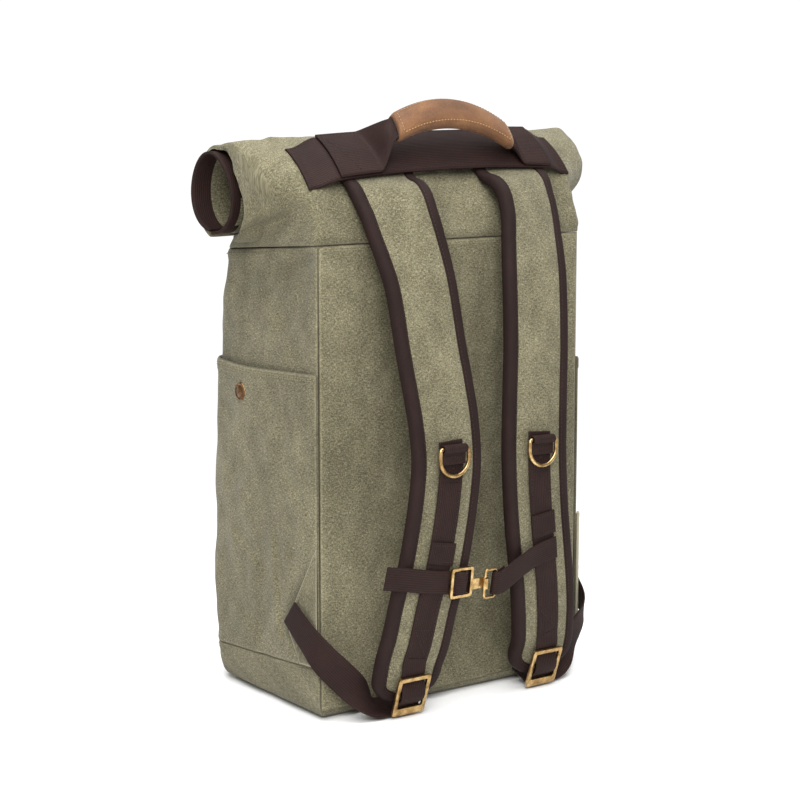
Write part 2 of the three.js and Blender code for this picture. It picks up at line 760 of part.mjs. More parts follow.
// A flat frame with windows, cast in brass, in the XZ plane with its middle at the origin.
function castFrame(width, height, windows, thickness) {
  const outline = roundedBox(-width / 2, -height / 2, width, height, 2.5, new THREE.Shape());
  outline.holes = windows.map(([x, z, w, h]) => roundedBox(x, z, w, h, 1, new THREE.Path()));
  const frame = new THREE.ExtrudeGeometry(outline, { depth: thickness, bevelEnabled: false, curveSegments: 2 });
  return frame.translate(0, 0, -thickness / 2).rotateX(Math.PI / 2);
}

function roundedBox(x, z, width, height, radius, path) {
  path.moveTo(x + radius, z);
  path.lineTo(x + width - radius, z);
  path.quadraticCurveTo(x + width, z, x + width, z + radius);
  path.lineTo(x + width, z + height - radius);
  path.quadraticCurveTo(x + width, z + height, x + width - radius, z + height);
  path.lineTo(x + radius, z + height);
  path.quadraticCurveTo(x, z + height, x, z + height - radius);
  path.lineTo(x, z + radius);
  path.quadraticCurveTo(x, z, x + radius, z);
  return path;
}

const lockInner = lockWidth - 2 * lockBar;
const lockTopWindow = 12;
const lockLowWindow = 10.5;
const lockMiddle = 3;
const lockLip = lockHeight - lockBar - lockTopWindow - lockMiddle - lockLowWindow;

function ladderLock() {
  const low = -lockHeight / 2 + lockLip;
  const windows = [
    [-lockInner / 2, low, lockInner, lockLowWindow],
    [-lockInner / 2, low + lockLowWindow + lockMiddle, lockInner, lockTopWindow],
  ];
  return castFrame(lockWidth, lockHeight, windows, brassThickness);
}

for (const [name, side] of sides) {
  const surface = strapSurface(side);
  add(`shoulder_strap_${name}`, strapPad(surface), 'canvas');
  add(`strap_binding_${name}`, strapBinding(surface), 'webbing');

  const lockAlong = surface.alongAt(lockZ);
  const lockFrame = surface.frame(lockAlong);
  const lock = add(`ladder_lock_${name}`, ladderLock(), 'brass');
  const right = lockFrame.across.clone().multiplyScalar(side);
  const upright = lockFrame.down.clone().negate();
  const facing = new THREE.Vector3().crossVectors(right, upright);
  const lockPlace = surface.at(lockAlong, 0, lockOff);
  lock.applyMatrix4(new THREE.Matrix4().makeBasis(right, facing.negate(), upright).setPosition(lockPlace));

  // The webbing lies on the strap, goes behind the lock's top bar and over its middle bar.
  const weave = brassThickness / 2 + webbingThickness / 2 + layerGap;
  const topBar = (lockHeight - lockBar) / 2;
  const middleBar = lockHeight / 2 - lockBar - lockTopWindow - lockMiddle / 2;
  const lipBar = -(lockHeight - lockLip) / 2;
  const start = surface.alongAt(dRingZ + 6);
  const tapeStops = [
    ...even(14).map((share) => [mix(start, lockAlong - topBar - 12, share), faceOff]),
    [lockAlong - topBar - 4, lockOff - weave],
    [lockAlong - topBar + 3, lockOff - weave],
    [lockAlong - middleBar - 3.5, lockOff + weave],
    [lockAlong - middleBar + 3.5, lockOff + weave],
    [lockAlong - lipBar - 4, lockOff - weave],
    [lockAlong - lipBar + 2, lockOff - weave],
  ];
  const tapeRings = tapeStops.map(([along, off]) => rectangle(webbingWidth, webbingThickness)
    .map((c) => surface.at(along, c.x, off + c.y)));
  add(`strap_webbing_${name}`, bar(tapeRings, rectangle(1, 1)), 'webbing');

  const ringAlong = surface.alongAt(dRingZ);
  const loopSeat = surface.at(ringAlong, 0, tapeFront + seamGap);
  const loop = add(`d_ring_loop_${name}`, ringLoop(), 'webbing');
  const loopBasis = new THREE.Matrix4().makeBasis(point(0, 0, 1), point(0, -1, 0), point(1, 0, 0));
  loop.applyMatrix4(loopBasis.setPosition(loopSeat));
  const ring = add(`d_ring_${name}`, dRing(), 'brass');
  ring.position.set(loopSeat.x, loopSeat.y - loopRadius, loopSeat.z);
}

// The sternum strap: a webbing from each shoulder strap, joined in the middle by a slide with a
// hook plate and a ring. Its middle layer lies clear of the webbing down the straps.
const leftSurface = strapSurface(-1);
const rightSurface = strapSurface(1);
const sternumOff = tapeFront + 2.5 * layerGap + sternumThickness / 2;
const sternumRise = 18;
const slidePitch = (slideWidth - 3 * brassThickness) / 2 + brassThickness;
const ringBarRadius = brassThickness / 2;
const hookLength = 13.3;
const hookWidth = 9;
const hookPlateWall = 1.6;
const ringDrop = 5;
const overBar = brassThickness / 2 + sternumThickness / 2 + layerGap;
const sternumFace = leftSurface.at(leftSurface.alongAt(sternumZ), 0, tapeFront);
const sternumY = sternumFace.y - overBar - sternumThickness / 2 - 2 * layerGap;

// The sternum's hard pieces lean back with the straps: a point so far out and up in their plane.
const strapDown = leftSurface.frame(leftSurface.alongAt(sternumZ)).down;
const sternumLean = Math.atan2(strapDown.y, -strapDown.z);
const sternumPoint = (x, out, up) => point(x, -out, up).applyAxisAngle(point(1, 0, 0), sternumLean)
  .add(point(0, sternumY, sternumZ));
const sternumStation = (at) => ({
  at,
  across: point(0.05, -Math.sin(sternumLean), Math.cos(sternumLean)),
  width: sternumWidth,
  thickness: sternumThickness,
});

function sternumLeft() {
  const bars = (x, out, up) => sternumStation(sternumPoint(slideX + x, out, up));
  const onStrap = (x, up, lift) => {
    const face = leftSurface.at(leftSurface.alongAt(sternumZ + up), 0, sternumOff);
    return sternumStation(point(face.x + x, face.y - lift, sternumZ + up));
  };
  const besideBar = brassThickness / 2 + 0.9;
  return strap([
    onStrap(-strapWidth * 0.75, sternumRise * 0.66, -3 * sternumThickness),
    onStrap(-strapWidth / 2, sternumRise * 0.53, -0.2),
    onStrap(-strapWidth / 4, sternumRise / 3, 0),
    bars(-slidePitch - sternumWidth / 2, -overBar, 2),
    bars(-slidePitch - 2, -overBar, 1),
    bars(-slidePitch + besideBar, -overBar, 0.5),
    bars(-besideBar, overBar, 0),
    bars(besideBar, overBar, 0),
    bars(slidePitch - besideBar, -overBar, -0.5),
    bars(slidePitch + brassThickness / 2 - 0.4, -overBar, -0.5),
  ], 27);
}

function sternumSlide() {
  const window = slidePitch - brassThickness;
  const windows = [
    [-slidePitch + brassThickness / 2, -(sternumWidth + 1) / 2, window, sternumWidth + 1],
    [brassThickness / 2, -(sternumWidth + 1) / 2, window, sternumWidth + 1],
  ];
  return castFrame(slideWidth, slideHeight, windows, brassThickness);
}

// The hook plate: a flat tongue whose end curls round the ring's near bar.
function hookPlate() {
  const eye = ringBarRadius + seamGap;
  const outside = eye + hookPlateWall;
  const outline = new THREE.Shape();
  outline.moveTo(-hookLength, eye);
  outline.lineTo(0, eye + 0.01);
  outline.absarc(0, 0, eye, Math.PI / 2, -Math.PI * 0.75, true);
  outline.absarc(0, 0, outside, -Math.PI * 0.75, Math.PI / 2, false);
  outline.lineTo(-hookLength, outside);
  const plate = new THREE.ExtrudeGeometry(outline, { depth: hookWidth, bevelEnabled: false, curveSegments: 8 });
  return plate.translate(0, 0, -hookWidth / 2);
}

// The ring at the end of the right webbing: a narrow upright loop of wire.
const ringOpening = 9;
const ringNear = -ringBarRadius * 2 - ringOpening;
function sternumRing() {
  const [wide, tall, corner] = [-ringNear / 2, sternumWidth / 2 + 2.2, 2.4];
  const line = [];
  for (const [x, z, from] of [[1, 1, 0], [-1, 1, 0.5], [-1, -1, 1], [1, -1, 1.5]]) {
    for (const share of even(3)) {
      const turn = (from + share / 2) * Math.PI;
      line.push([x * (wide - corner) + corner * Math.cos(turn), z * (tall - corner) + corner * Math.sin(turn)]);
    }
  }
  return wireLoop(line, ringBarRadius, 6);
}

function sternumRight() {
  const wrap = ringBarRadius + 2 * layerGap + sternumThickness / 2;
  const over = sternumRise * 0.66;
  const middle = rightSurface.at(rightSurface.alongAt(sternumZ + over), 0, sternumOff);
  const round = (x, out, up = 0) => sternumStation(sternumPoint(hookRingX + x, out, up - ringDrop));
  return strap([
    round(sternumWidth * 0.7, -wrap - 0.4, 2.5),
    round(6, -wrap),
    round(0, -wrap),
    round(-wrap * 0.8, -wrap * 0.6),
    round(-wrap, 0),
    round(-wrap * 0.8, wrap * 0.6),
    round(0, wrap),
    round(6, wrap, 1),
    round(middle.x - strapWidth / 2 - hookRingX, wrap * 0.6, over - 2),
    sternumStation(point(middle.x - strapWidth * 0.18, middle.y - 0.4, sternumZ + over)),
    sternumStation(point(middle.x + strapWidth * 0.16, middle.y, sternumZ + sternumRise * 0.94)),
  ], 40);
}

add('sternum_strap_left', sternumLeft(), 'webbing');
add('sternum_strap_right', sternumRight(), 'webbing');
const slide = add('sternum_slide', sternumSlide(), 'brass');
slide.position.copy(sternumPoint(slideX, 0, 0));
const ringCentre = hookRingX + ringNear / 2;
const hook = add('sternum_hook', hookPlate(), 'brass');
hook.position.copy(sternumPoint(hookRingX + ringNear, 0, 1 - ringDrop));
const sternumLoop = add('sternum_ring', sternumRing(), 'brass');
sternumLoop.position.copy(sternumPoint(ringCentre, 0, -ringDrop));
for (const piece of [slide, hook, sternumLoop]) {
  piece.rotation.x = sternumLean;
}
for (const [name, surface, low, high] of [
  ['left', leftSurface, sternumRise, 2 * sternumRise],
  ['right', rightSurface, 1.6 * sternumRise, 2.7 * sternumRise],
]) {
  add(`sternum_anchor_${name}`, strapTape(surface, {
    from: sternumZ + high, to: sternumZ + low, width: webbingWidth + 2, thickness: sternumThickness,
    off: () => tapeFront + seamGap + sternumThickness / 2, steps: 3,
  }), 'webbing');
}

// The wing tab in each lower side seam: a canvas triangle laid forward over the pocket.
const tabWall = 1.6;
function wingTab(side) {
  const corner = (depth, z) => [depth, z];
  const seam = [corner(3, tabTop), corner(3, traySideRear + 2)];
  const outer = [corner(tabReach, tabTop * 0.53), corner(tabReach * 0.66, traySideRear + 1)];
  const grid = (lift) => even(4).map((down) => even(5).map((forward) => {
    const depth = mix(mix(seam[0][0], seam[1][0], down), mix(outer[0][0], outer[1][0], down), forward);
    const z = mix(mix(seam[0][1], seam[1][1], down), mix(outer[0][1], outer[1][1], down), forward);
    return pocketPoint(side, sideShare(depth - halfDepth, z), z, pocketWall + layerGap * 1.5 + lift);
  }));
  return wall(grid(tabWall), grid(0));
}

// The middle line of the webbing from the wing tab round the corner and down to the floor, under
// the strap's end: how far inside the tab's face and behind the back, as shares of the webbing's
// width, its height as a share of the tab's, and the direction of its width.
const adjusterRoute = [
  { inside: 0, behind: -1.115, height: 0.61, across: [0, -0.65, 0.76] },
  { inside: 0.096, behind: -0.385, height: 0.5, across: [-0.1, -0.6, 0.78] },
  { inside: 0.28, behind: 0.346, height: 0.39, across: [-0.35, -0.45, 0.8] },
  { inside: 1.03, behind: 0.558, height: 0.24, across: [-0.5, -0.2, 0.75] },
  { inside: 1.84, behind: 0.654, height: 0.095, across: [-0.25, 0.5, 0.6] },
  { inside: 2.34, behind: 0.558, height: 0.047, across: [0, 0.9, 0.4] },
  { inside: 2.8, behind: 0.558, height: 0.047, across: [0, 0.9, 0.4] },
  { inside: 3.34, behind: 0.558, height: 0.047, across: [0, 0.9, 0.4] },
];
const adjusterLift = 4.4;

function adjuster(side) {
  const tabFace = halfWidth + pocketWall + tabWall + sideBulge + adjusterLift;
  return strap(adjusterRoute.map(({ inside, behind, height, across: [ax, ay, az] }) => ({
    at: point(side * (tabFace - inside * adjusterWidth), -halfDepth - behind * adjusterWidth, height * tabTop),
    across: point(side * ax, ay, az),
    width: adjusterWidth,
    thickness: webbingThickness,
  })), 21);
}

for (const [name, side] of sides) {
  add(`wing_tab_${name}`, wingTab(side), 'canvas');
  add(`adjuster_webbing_${name}`, adjuster(side), 'webbing');
}

// The band across the back of the collar. It lies on the canvas at its ends and over the strap
// roots between them. Share runs from its lower to its upper edge.
const bandEnd = halfWidth - 1;
const rootEnd = strapSpread + 0.575 * strapWidth;
const bandColumns = even(4);
function bandPoint(x, share, off) {
  const lift = layerGap + (bandLift - layerGap) * (1 - smooth(Math.abs(x), rootEnd, bandEnd - 4));
  const sag = bandSag * (x / halfWidth) ** 2;
  return collarBack(x, bandFoot - sag + share * bandWidth, lift + off);
}

const bothSides = (distances) => [...distances.map((x) => -x), 0, ...[...distances].reverse()];
function collarBand() {
  const stops = bothSides([bandEnd, mix(rootEnd, bandEnd, 2 / 3), mix(rootEnd, bandEnd, 1 / 3), rootEnd,
    ...[0.72, 0.5, 0.25].map((share) => share * rootEnd)]);
  const grid = (off) => stops.map((x) => bandColumns.map((share) => bandPoint(x, share, off)));
  return wall(grid(bandThickness), grid(0));
}

// The middle line of the handle, an arch off the band that hangs a little to the right.
function gripMiddle(x) {
  const root = bandPoint(0, 0.5, bandThickness);
  const rise = gripRise * (1 - ((x - gripShift) / (gripLength / 2)) ** 2) - gripSlope * x;
  return point(x, root.y - gripStandOff, root.z + gripLift + rise);
}

// A place beside the middle line, so far towards the bag and up, leaned back over the roll.
const beside = (middle, y, z) => middle.clone()
  .add(point(0, y, z).applyAxisAngle(point(1, 0, 0), -gripLean));

// The handle's webbing: sewn flat on the band at both ends, gathered and lifted into the grip.
const gripOverlap = 6;
const gripEnd = gripLength / 2 - gripOverlap;
const handleLanding = 17;
const gripStops = even(10).map((share) => gripShift + mix(-gripEnd, gripEnd, share));
const gripTip = (side) => gripEnd + side * gripShift;
const handleRoots = (side) => [
  ...[0.2, 0.55, 1].map((share) => gripTip(side) + share * handleLanding),
  ...[0.33, 0.66, 1].map((share) => mix(gripTip(side) + handleLanding, rootEnd, share)),
];
const handleStations = [...handleRoots(-1).reverse().map((x) => -x), ...gripStops, ...handleRoots(1)];
const coreHeight = gripHeight - 2 * gripWall - 1;
const coreDepth = 4;
function handleWebbing() {
  const grid = (face) => handleStations.map((x) => {
    const past = Math.abs(x) - gripTip(Math.sign(x));
    const free = 1 - smooth(past, 1, handleLanding);
    const held = x - Math.sign(x) * Math.max(0, past - gripOverlap / 3);
    return bandColumns.map((share) => {
      const flat = bandPoint(x, mix(0.02, 0.98, share), bandThickness + 2 * layerGap + face * webbingThickness);
      const core = beside(gripMiddle(held).setX(x), (0.5 - face) * coreDepth, (share - 0.5) * coreHeight);
      return flat.lerp(core, free);
    });
  });
  return wall(grid(1), grid(0));
}

// The leather sleeve of the grip.
const leatherCorner = 4.5;
function handleGrip() {
  const ring = (x, tall, deep, cut) => {
    const [h, d] = [tall / 2, deep / 2];
    const section = [[h - cut, d], [h, d - cut], [h, cut - d], [h - cut, -d], [cut - h, -d], [-h, cut - d],
      [-h, d - cut], [cut - h, d]];
    return section.map(([z, y]) => beside(gripMiddle(x), y, z));
  };
  const outer = gripStops.map((x) => ring(x, gripHeight, gripDepth, leatherCorner));
  const inner = gripStops.map((x) => ring(x, coreHeight + 1, coreDepth + 1, layerGap));
  return wall(outer, inner, { closed: true });
}

add('back_band', collarBand(), 'webbing');
add('handle_webbing', handleWebbing(), 'webbing');
add('handle_grip', handleGrip(), 'leather');

// A plain strap sewn to the front panel and to the roll, which keeps the roll down.
function closureStrap() {
  const off = webbingThickness / 2 + layerGap * 2;
  const station = (at) => ({ at, across: point(1, 0, 0), width: closureWidth, thickness: webbingThickness });
  const onFront = (z) => station(point(0, frontPoint(0.5, z, off).y, z));
  const onRoll = (turn) => station(windingPoint(turn, -2 * off));
  const rollTurn = Math.asin((bodyHeight + closureRise - collarZ(windingZ)) / windingRadiusZ);
  const onSeam = station(point(0, frontReach(bodyHeight) + off + closureSlack, bodyHeight + closureSlack));
  return strap([
    ...[1, 0.72, 0.44, 0.235, 0.065].map((share) => onFront(bodyHeight - share * closureDrop)),
    onSeam,
    ...[-0.45, -0.1, 0.25].map((turn) => onRoll(rollTurn + turn)),
  ], 16);
}
add('closure_strap', closureStrap(), 'webbing');

export default backpack;
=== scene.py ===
"""A canvas rolltop backpack standing on its base, dressed over its solid model.

Shapes are worked out in millimetres as functions on grids and put into meshes in metres.
-Y is the strap side, +Y the front of the bag, +X the right seen from the strap side, +Z up.
"""
import json
import math
import bpy
import numpy as np
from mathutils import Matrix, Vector


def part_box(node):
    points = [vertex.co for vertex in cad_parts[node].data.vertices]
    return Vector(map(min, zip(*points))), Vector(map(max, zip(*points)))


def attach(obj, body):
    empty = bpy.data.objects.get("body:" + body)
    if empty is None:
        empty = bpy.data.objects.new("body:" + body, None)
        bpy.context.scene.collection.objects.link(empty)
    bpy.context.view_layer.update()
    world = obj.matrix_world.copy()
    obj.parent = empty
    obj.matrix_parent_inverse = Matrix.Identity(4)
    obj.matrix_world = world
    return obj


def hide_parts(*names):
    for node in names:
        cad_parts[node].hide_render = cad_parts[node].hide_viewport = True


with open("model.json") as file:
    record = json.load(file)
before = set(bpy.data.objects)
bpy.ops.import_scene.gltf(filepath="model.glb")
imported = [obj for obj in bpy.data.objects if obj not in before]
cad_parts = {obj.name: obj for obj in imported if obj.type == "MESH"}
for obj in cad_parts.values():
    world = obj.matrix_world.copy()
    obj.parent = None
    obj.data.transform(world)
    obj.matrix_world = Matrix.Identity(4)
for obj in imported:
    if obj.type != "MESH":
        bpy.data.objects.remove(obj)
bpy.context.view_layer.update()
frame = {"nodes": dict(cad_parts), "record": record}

MM = 0.001
PI = math.pi

# What the edge attribute says, in mm, where a piece has no worn edge and no painted rim.
FAR_FROM_EDGE = 30.0

# Body
HALF_WIDTH = 140.0
HALF_DEPTH = 91.0
BODY_HEIGHT = 391.5
CANVAS = 2.2
CORNER_GAP = 0.45
FRONT_RADIUS = 25.0
SIDE_BULGE = 3.0
FRONT_BULGE = 5.0
SEAM_RISE = 9.0
SEAM_DROP = 6.0
SEAM_GAP = 0.3
ROUND_SHARE = 0.78
TRAY_RADIUS = 9.0
REAR_RIM = 8.0
TRAY_REAR = 44.0
TRAY_FRONT = 33.0

# Collar and roll
COLLAR_HEIGHT = 95.5
REACH_LEFT = 174.0
REACH_RIGHT = 190.0
ROLL_TILT = 8.0
ROLL_Y = 13.0
ROLL_Z = BODY_HEIGHT + 0.545 * COLLAR_HEIGHT
ROLL_RADIUS_Y = 31.0
ROLL_RADIUS_Z = 40.0
LAYER_PAIR = 2 * CANVAS + 1
SCOOP_DEPTH = 9.0
MOUTH_WEBBING = 2.0
MOUTH_REACH = 8.0

# Pockets and tabs
POCKET_TOP = 287.0
POCKET_SLACK = 5.0
POCKET_WALL = 1.8
LAYER_GAP = 0.4
SNAP_Y = 16.0
SNAP_Z = 265.0
TAB_TOP = 145.0
TAB_REACH = 42.0
TAB_WALL = 1.6

# Straps
STRAP_TOP = 466.0
STRAP_STAND = 49.0
STRAP_SPREAD = 73.0
STRAP_WIDTH = 68.0
STRAP_THICKNESS = 10.0
STRAP_END = 24.0
STRAP_TWIST = 0.14
BINDING_WALL = 1.0
BINDING_WIDTH = 10.0
TAPE_GAP = 0.45
WEBBING_WIDTH = 24.0
WEBBING = 1.6
LOCK_Z = 22.5
LOCK_HEIGHT = 36.0
RING_Z = 226.0

# Band and handle
BAND_WIDTH = 49.0
BAND_THICKNESS = 1.6
BAND_LIFT = 8.4
BAND_SAG = 7.0
BAND_FOOT = 57.0
GRIP_LENGTH = 134.0
GRIP_HEIGHT = 26.0
GRIP_DEPTH = 14.0
GRIP_RISE = 19.0
GRIP_STAND = 14.0
GRIP_LIFT = 8.0
GRIP_SHIFT = 7.0
GRIP_LEAN = 0.6
GRIP_SLOPE = 0.03
HANDLE_LANDING = 17.0


# Meshes

def normals(points, closed=False):
    """Unit normals of a grid, from the cross product of its two directions of travel."""
    if closed:
        wrapped = np.concatenate([points[:, -1:], points, points[:, :1]], axis=1)
        across = (wrapped[:, 2:] - wrapped[:, :-2])
    else:
        across = np.gradient(points, axis=1)
    along = np.gradient(points, axis=0)
    return unit(np.cross(across, along))


def travel(points, axis):
    """Distance travelled along one direction of a grid, or along a line with axis 0."""
    steps = np.linalg.norm(np.diff(points, axis=axis), axis=-1)
    start = np.zeros_like(np.take(steps, [0], axis=axis))
    return np.concatenate([start, np.cumsum(steps, axis=axis)], axis=axis)


def quads(rows, columns, closed, offset=0):
    """Corner numbers of a grid's quads, and each corner's row and column with no wrap."""
    wide = columns if closed else columns - 1
    r, c = np.meshgrid(np.arange(rows - 1), np.arange(wide), indexing="ij")
    r, c = r.ravel(), c.ravel()
    rr = np.stack([r, r, r + 1, r + 1], axis=1)
    cc = np.stack([c, c + 1, c + 1, c], axis=1)
    return offset + rr * columns + cc % columns, rr, cc


def corner_places(across, along):
    """Texture places of quads, from the two coordinates of their four corners."""
    return np.stack([np.stack(across, axis=1), np.stack(along, axis=1)], axis=-1)


def build(name, points, faces, uvs, body="bag", materials=(), slots=None, edge=None):
    """An object from points in mm, quads or triangles in arrays, and their corners' texture places."""
    mesh = bpy.data.meshes.new(name)
    every = [f for group in faces for f in group.tolist()]
    volume = 0.0
    for group in faces:
        for k in range(1, group.shape[1] - 1):
            a, b, c = points[group[:, 0]], points[group[:, k]], points[group[:, k + 1]]
            volume += float(np.einsum("ij,ij->i", a, np.cross(b, c)).sum())
    corners = np.concatenate([u.reshape(-1, 2) for u in uvs])
    mesh.from_pydata((points * MM).tolist(), [], every)
    layer = mesh.uv_layers.new(name="cloth")
    layer.data.foreach_set("uv", (corners * MM).astype(np.float32).ravel())
    mesh.polygons.foreach_set("use_smooth", np.ones(len(every), dtype=bool))
    for material in materials:
        mesh.materials.append(material)
    if slots is not None:
        mesh.polygons.foreach_set("material_index", slots.astype(np.int32))
    if edge is not None:
        attribute = mesh.attributes.new("edge", "FLOAT", "POINT")
        attribute.data.foreach_set("value", edge.astype(np.float32))
    if volume < 0:
        mesh.flip_normals()
    mesh.update()
    piece = bpy.data.objects.new(name, mesh)
    bpy.context.collection.objects.link(piece)
    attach(piece, body)
    return piece


def wall(name, outer, inner, material, closed=False, centres=None, paint=None, second=None):
    """A closed wall between an outer and an inner grid. Two centre points close the first rows."""
    rows, columns = outer.shape[:2]
    count = rows * columns
    points = np.concatenate([outer.reshape(-1, 3), inner.reshape(-1, 3)])
    looped = np.concatenate([outer, outer[:, :1]], axis=1) if closed else outer
    u, v = travel(looped, 1), travel(looped, 0)
    if not closed:
        u = u - u[:, columns // 2:columns // 2 + 1]
    faces, uvs = [], []
    for offset in (0, count):
        f, rr, cc = quads(rows, columns, closed, offset)
        uv = np.stack([u[rr, cc], v[rr, cc]], axis=-1)
        if offset:
            f, uv = f[:, ::-1], uv[:, ::-1]
        faces.append(f)
        uvs.append(uv)
    wide = np.arange(columns if closed else columns - 1)
    following = (wide + 1) % columns
    rims = [(rows - 1, False)] + ([] if centres is not None else [(0, True)])
    for row, back in rims:
        f = np.stack([row * columns + wide, count + row * columns + wide,
                      count + row * columns + following, row * columns + following], axis=1)
        near, far, run = u[row, wide], u[row, wide + 1], v[row, wide]
        uv = corner_places((near, near, far, far), (run, run + CANVAS, run + CANVAS, run))
        faces.append(f if back else f[:, ::-1])
        uvs.append(uv if back else uv[:, ::-1])
    if not closed:
        tall = np.arange(rows - 1)
        for column, back in ((0, False), (columns - 1, True)):
            low, high = tall * columns + column, (tall + 1) * columns + column
            f = np.stack([low, count + low, count + high, high], axis=1)
            near, start, end = u[tall, column], v[tall, column], v[tall + 1, column]
            uv = corner_places((near, near + CANVAS, near + CANVAS, near), (start, start, end, end))
            faces.append(f if back else f[:, ::-1])
            uvs.append(uv if back else uv[:, ::-1])
    if centres is not None:
        points = np.concatenate([points, centres])
        for k, offset in enumerate((0, count)):
            f = np.stack([np.full(wide.shape, 2 * count + k), offset + following, offset + wide], axis=1)
            flat = points[f][..., :2]
            faces.append(f if k == 0 else f[:, ::-1])
            uvs.append(flat if k == 0 else flat[:, ::-1])
    edge = np.minimum(v[:, :columns], v[-1:, :columns] - v[:, :columns])
    if not closed:
        side = u - u[:, :1]
        edge = np.minimum(edge, np.minimum(side, side[:, -1:] - side))
    centre_edges = [] if centres is None else [FAR_FROM_EDGE] * 2
    edge = np.concatenate([edge.ravel(), edge.ravel(), centre_edges])
    slots = None
    if paint is not None:
        slots = np.concatenate([paint(points[f].mean(axis=1)) for f in faces])
    materials = (material,) if second is None else (material, second)
    return build(name, points, faces, uvs, materials=materials, slots=slots, edge=edge)


def sweep(name, centres, across, up, section, material):
    """A bar carried along a path: each ring is its centre plus the section on two directions."""
    section = np.broadcast_to(section, (len(centres),) + section.shape[-2:])
    rings = centres[:, None] + across[:, None] * section[..., :1] + up[:, None] * section[..., 1:]
    return tube(name, rings, material)


def tube(name, rings, material, looped=False, body="bag"):
    """A closed body through rings of points, capped at both ends or closed on itself."""
    count, sides = rings.shape[:2]
    points = rings.reshape(-1, 3)
    grid = np.concatenate([rings, rings[:1]], axis=0) if looped else rings
    grid = np.concatenate([grid, grid[:, :1]], axis=1)
    u, v = travel(grid, 1), travel(grid, 0)
    v = np.broadcast_to(v.mean(axis=1, keepdims=True), v.shape)
    rows = count + 1 if looped else count
    f, rr, cc = quads(rows, sides, True)
    f = f % (count * sides)
    faces, uvs = [f], [np.stack([u[rr, cc], v[rr, cc]], axis=-1)]
    if not looped:
        for row, back in ((0, False), (count - 1, True)):
            ring = row * sides + np.arange(sides)
            middle = len(points)
            points = np.concatenate([points, rings[row].mean(axis=0, keepdims=True)])
            f = np.stack([np.full(sides, middle), ring, np.roll(ring, -1)], axis=1)
            uv = np.stack([u[row, :-1], v[row, :-1]], axis=-1)
            uv = np.stack([uv, uv, np.stack([u[row, 1:], v[row, 1:]], axis=-1)], axis=1)
            faces.append(f if back else f[:, ::-1])
            uvs.append(uv if back else uv[:, ::-1])
    edge = np.full(len(points), FAR_FROM_EDGE)
    return build(name, points, faces, uvs, body=body, materials=(material,), edge=edge)


def rounded(width, thickness):
    """A flat section with round edges: a rectangle whose short sides are half ellipses."""
    turn = np.linspace(-PI / 2, PI / 2, 7)
    lip = thickness * 0.45
    right = np.stack([width / 2 - lip + lip * np.cos(turn), thickness / 2 * np.sin(turn)], axis=1)
    flat = np.linspace(1, -1, 7)[1:-1]
    top = np.stack([flat * (width / 2 - lip), np.full(5, thickness / 2)], axis=1)
    return np.concatenate([right, top, -right, -top])


def circle(radius, sides):
    """A round section."""
    turn = np.linspace(0, 2 * PI, sides, endpoint=False)
    return radius * np.stack([np.cos(turn), np.sin(turn)], axis=1)


# Curves

def spline(points, t, tension=None):
    """A smooth curve through points: centripetal, or with a plain tension where one is given."""
    points = np.asarray(points, float)
    last = len(points) - 1
    place = np.clip(np.atleast_1d(t) * last, 0, last)
    i = np.minimum(place.astype(int), last - 1)
    w = (place - i)[:, None]
    ends = np.concatenate([2 * points[:1] - points[1:2], points, 2 * points[-1:] - points[-2:-1]])
    p0, p1, p2, p3 = ends[i], ends[i + 1], ends[i + 2], ends[i + 3]
    if tension is None:
        d0, d1, d2 = (np.maximum(np.linalg.norm(b - a, axis=1, keepdims=True), 1e-6) ** 0.5
                      for a, b in ((p0, p1), (p1, p2), (p2, p3)))
        m1 = ((p1 - p0) / d0 - (p2 - p0) / (d0 + d1) + (p2 - p1) / d1) * d1
        m2 = ((p2 - p1) / d1 - (p3 - p1) / (d1 + d2) + (p3 - p2) / d2) * d1
    else:
        m1, m2 = tension * (p2 - p0), tension * (p3 - p1)
    return p1 + m1 * w + (3 * (p2 - p1) - 2 * m1 - m2) * w ** 2 + (2 * (p1 - p2) + m1 + m2) * w ** 3


def unit(v):
    """Vectors of length one."""
    return v / np.maximum(np.linalg.norm(v, axis=-1, keepdims=True), 1e-9)


def heading(points, t, step):
    """The direction of a smooth curve: from a step before each place to a step past it."""
    return unit(spline(points, np.clip(t + step, 0, 1)) - spline(points, np.clip(t - step, 0, 1)))


def smooth(x, low, high):
    """A step that rises smoothly from 0 at low to 1 at high."""
    t = np.clip((x - low) / (high - low), 0, 1)
    return t * t * (3 - 2 * t)


def bump(x, centre, reach):
    """A bell of height 1."""
    return np.exp(-(((x - centre) / reach) ** 2))


def ripple(a, b, length, amount, seed):
    """Soft unevenness of cloth: a sum of seven waves with seeded directions and phases."""
    rng = np.random.default_rng(seed)
    total = 0.0
    for _ in range(7):
        turn, phase = rng.uniform(0, 2 * PI, 2)
        wave = length * rng.uniform(0.6, 1.7)
        total = total + np.sin(2 * PI * (a * math.cos(turn) + b * math.sin(turn)) / wave + phase)
    return amount * total / 3.0


def crease(a, b, start, end, width, depth):
    """A soft fold along a line from start to end: a valley with a low ridge beside it."""
    start, end = np.array(start, float), np.array(end, float)
    run = end - start
    length = np.hypot(*run)
    along = ((a - start[0]) * run[0] + (b - start[1]) * run[1]) / length ** 2
    aside = ((a - start[0]) * run[1] - (b - start[1]) * run[0]) / length
    held = smooth(along, -0.15, 0.25) * (1 - smooth(along, 0.75, 1.15))
    valley, ridge = np.exp(-(aside / width) ** 2), np.exp(-((aside / width - 1.9) / 1.2) ** 2)
    return depth * held * (-valley + 0.45 * ridge)


def creases(a, b, table):
    """The sum of a table's creases."""
    return sum(crease(a, b, *row) for row in table)


def seam_roll(distance):
    """How cloth sinks into a seam and swells beside it, by the distance from the seam."""
    return -1.2 * np.exp(-(distance / 1.4) ** 2) + 0.3 * np.exp(-((distance - 6.0) / 4.5) ** 2)


# Materials

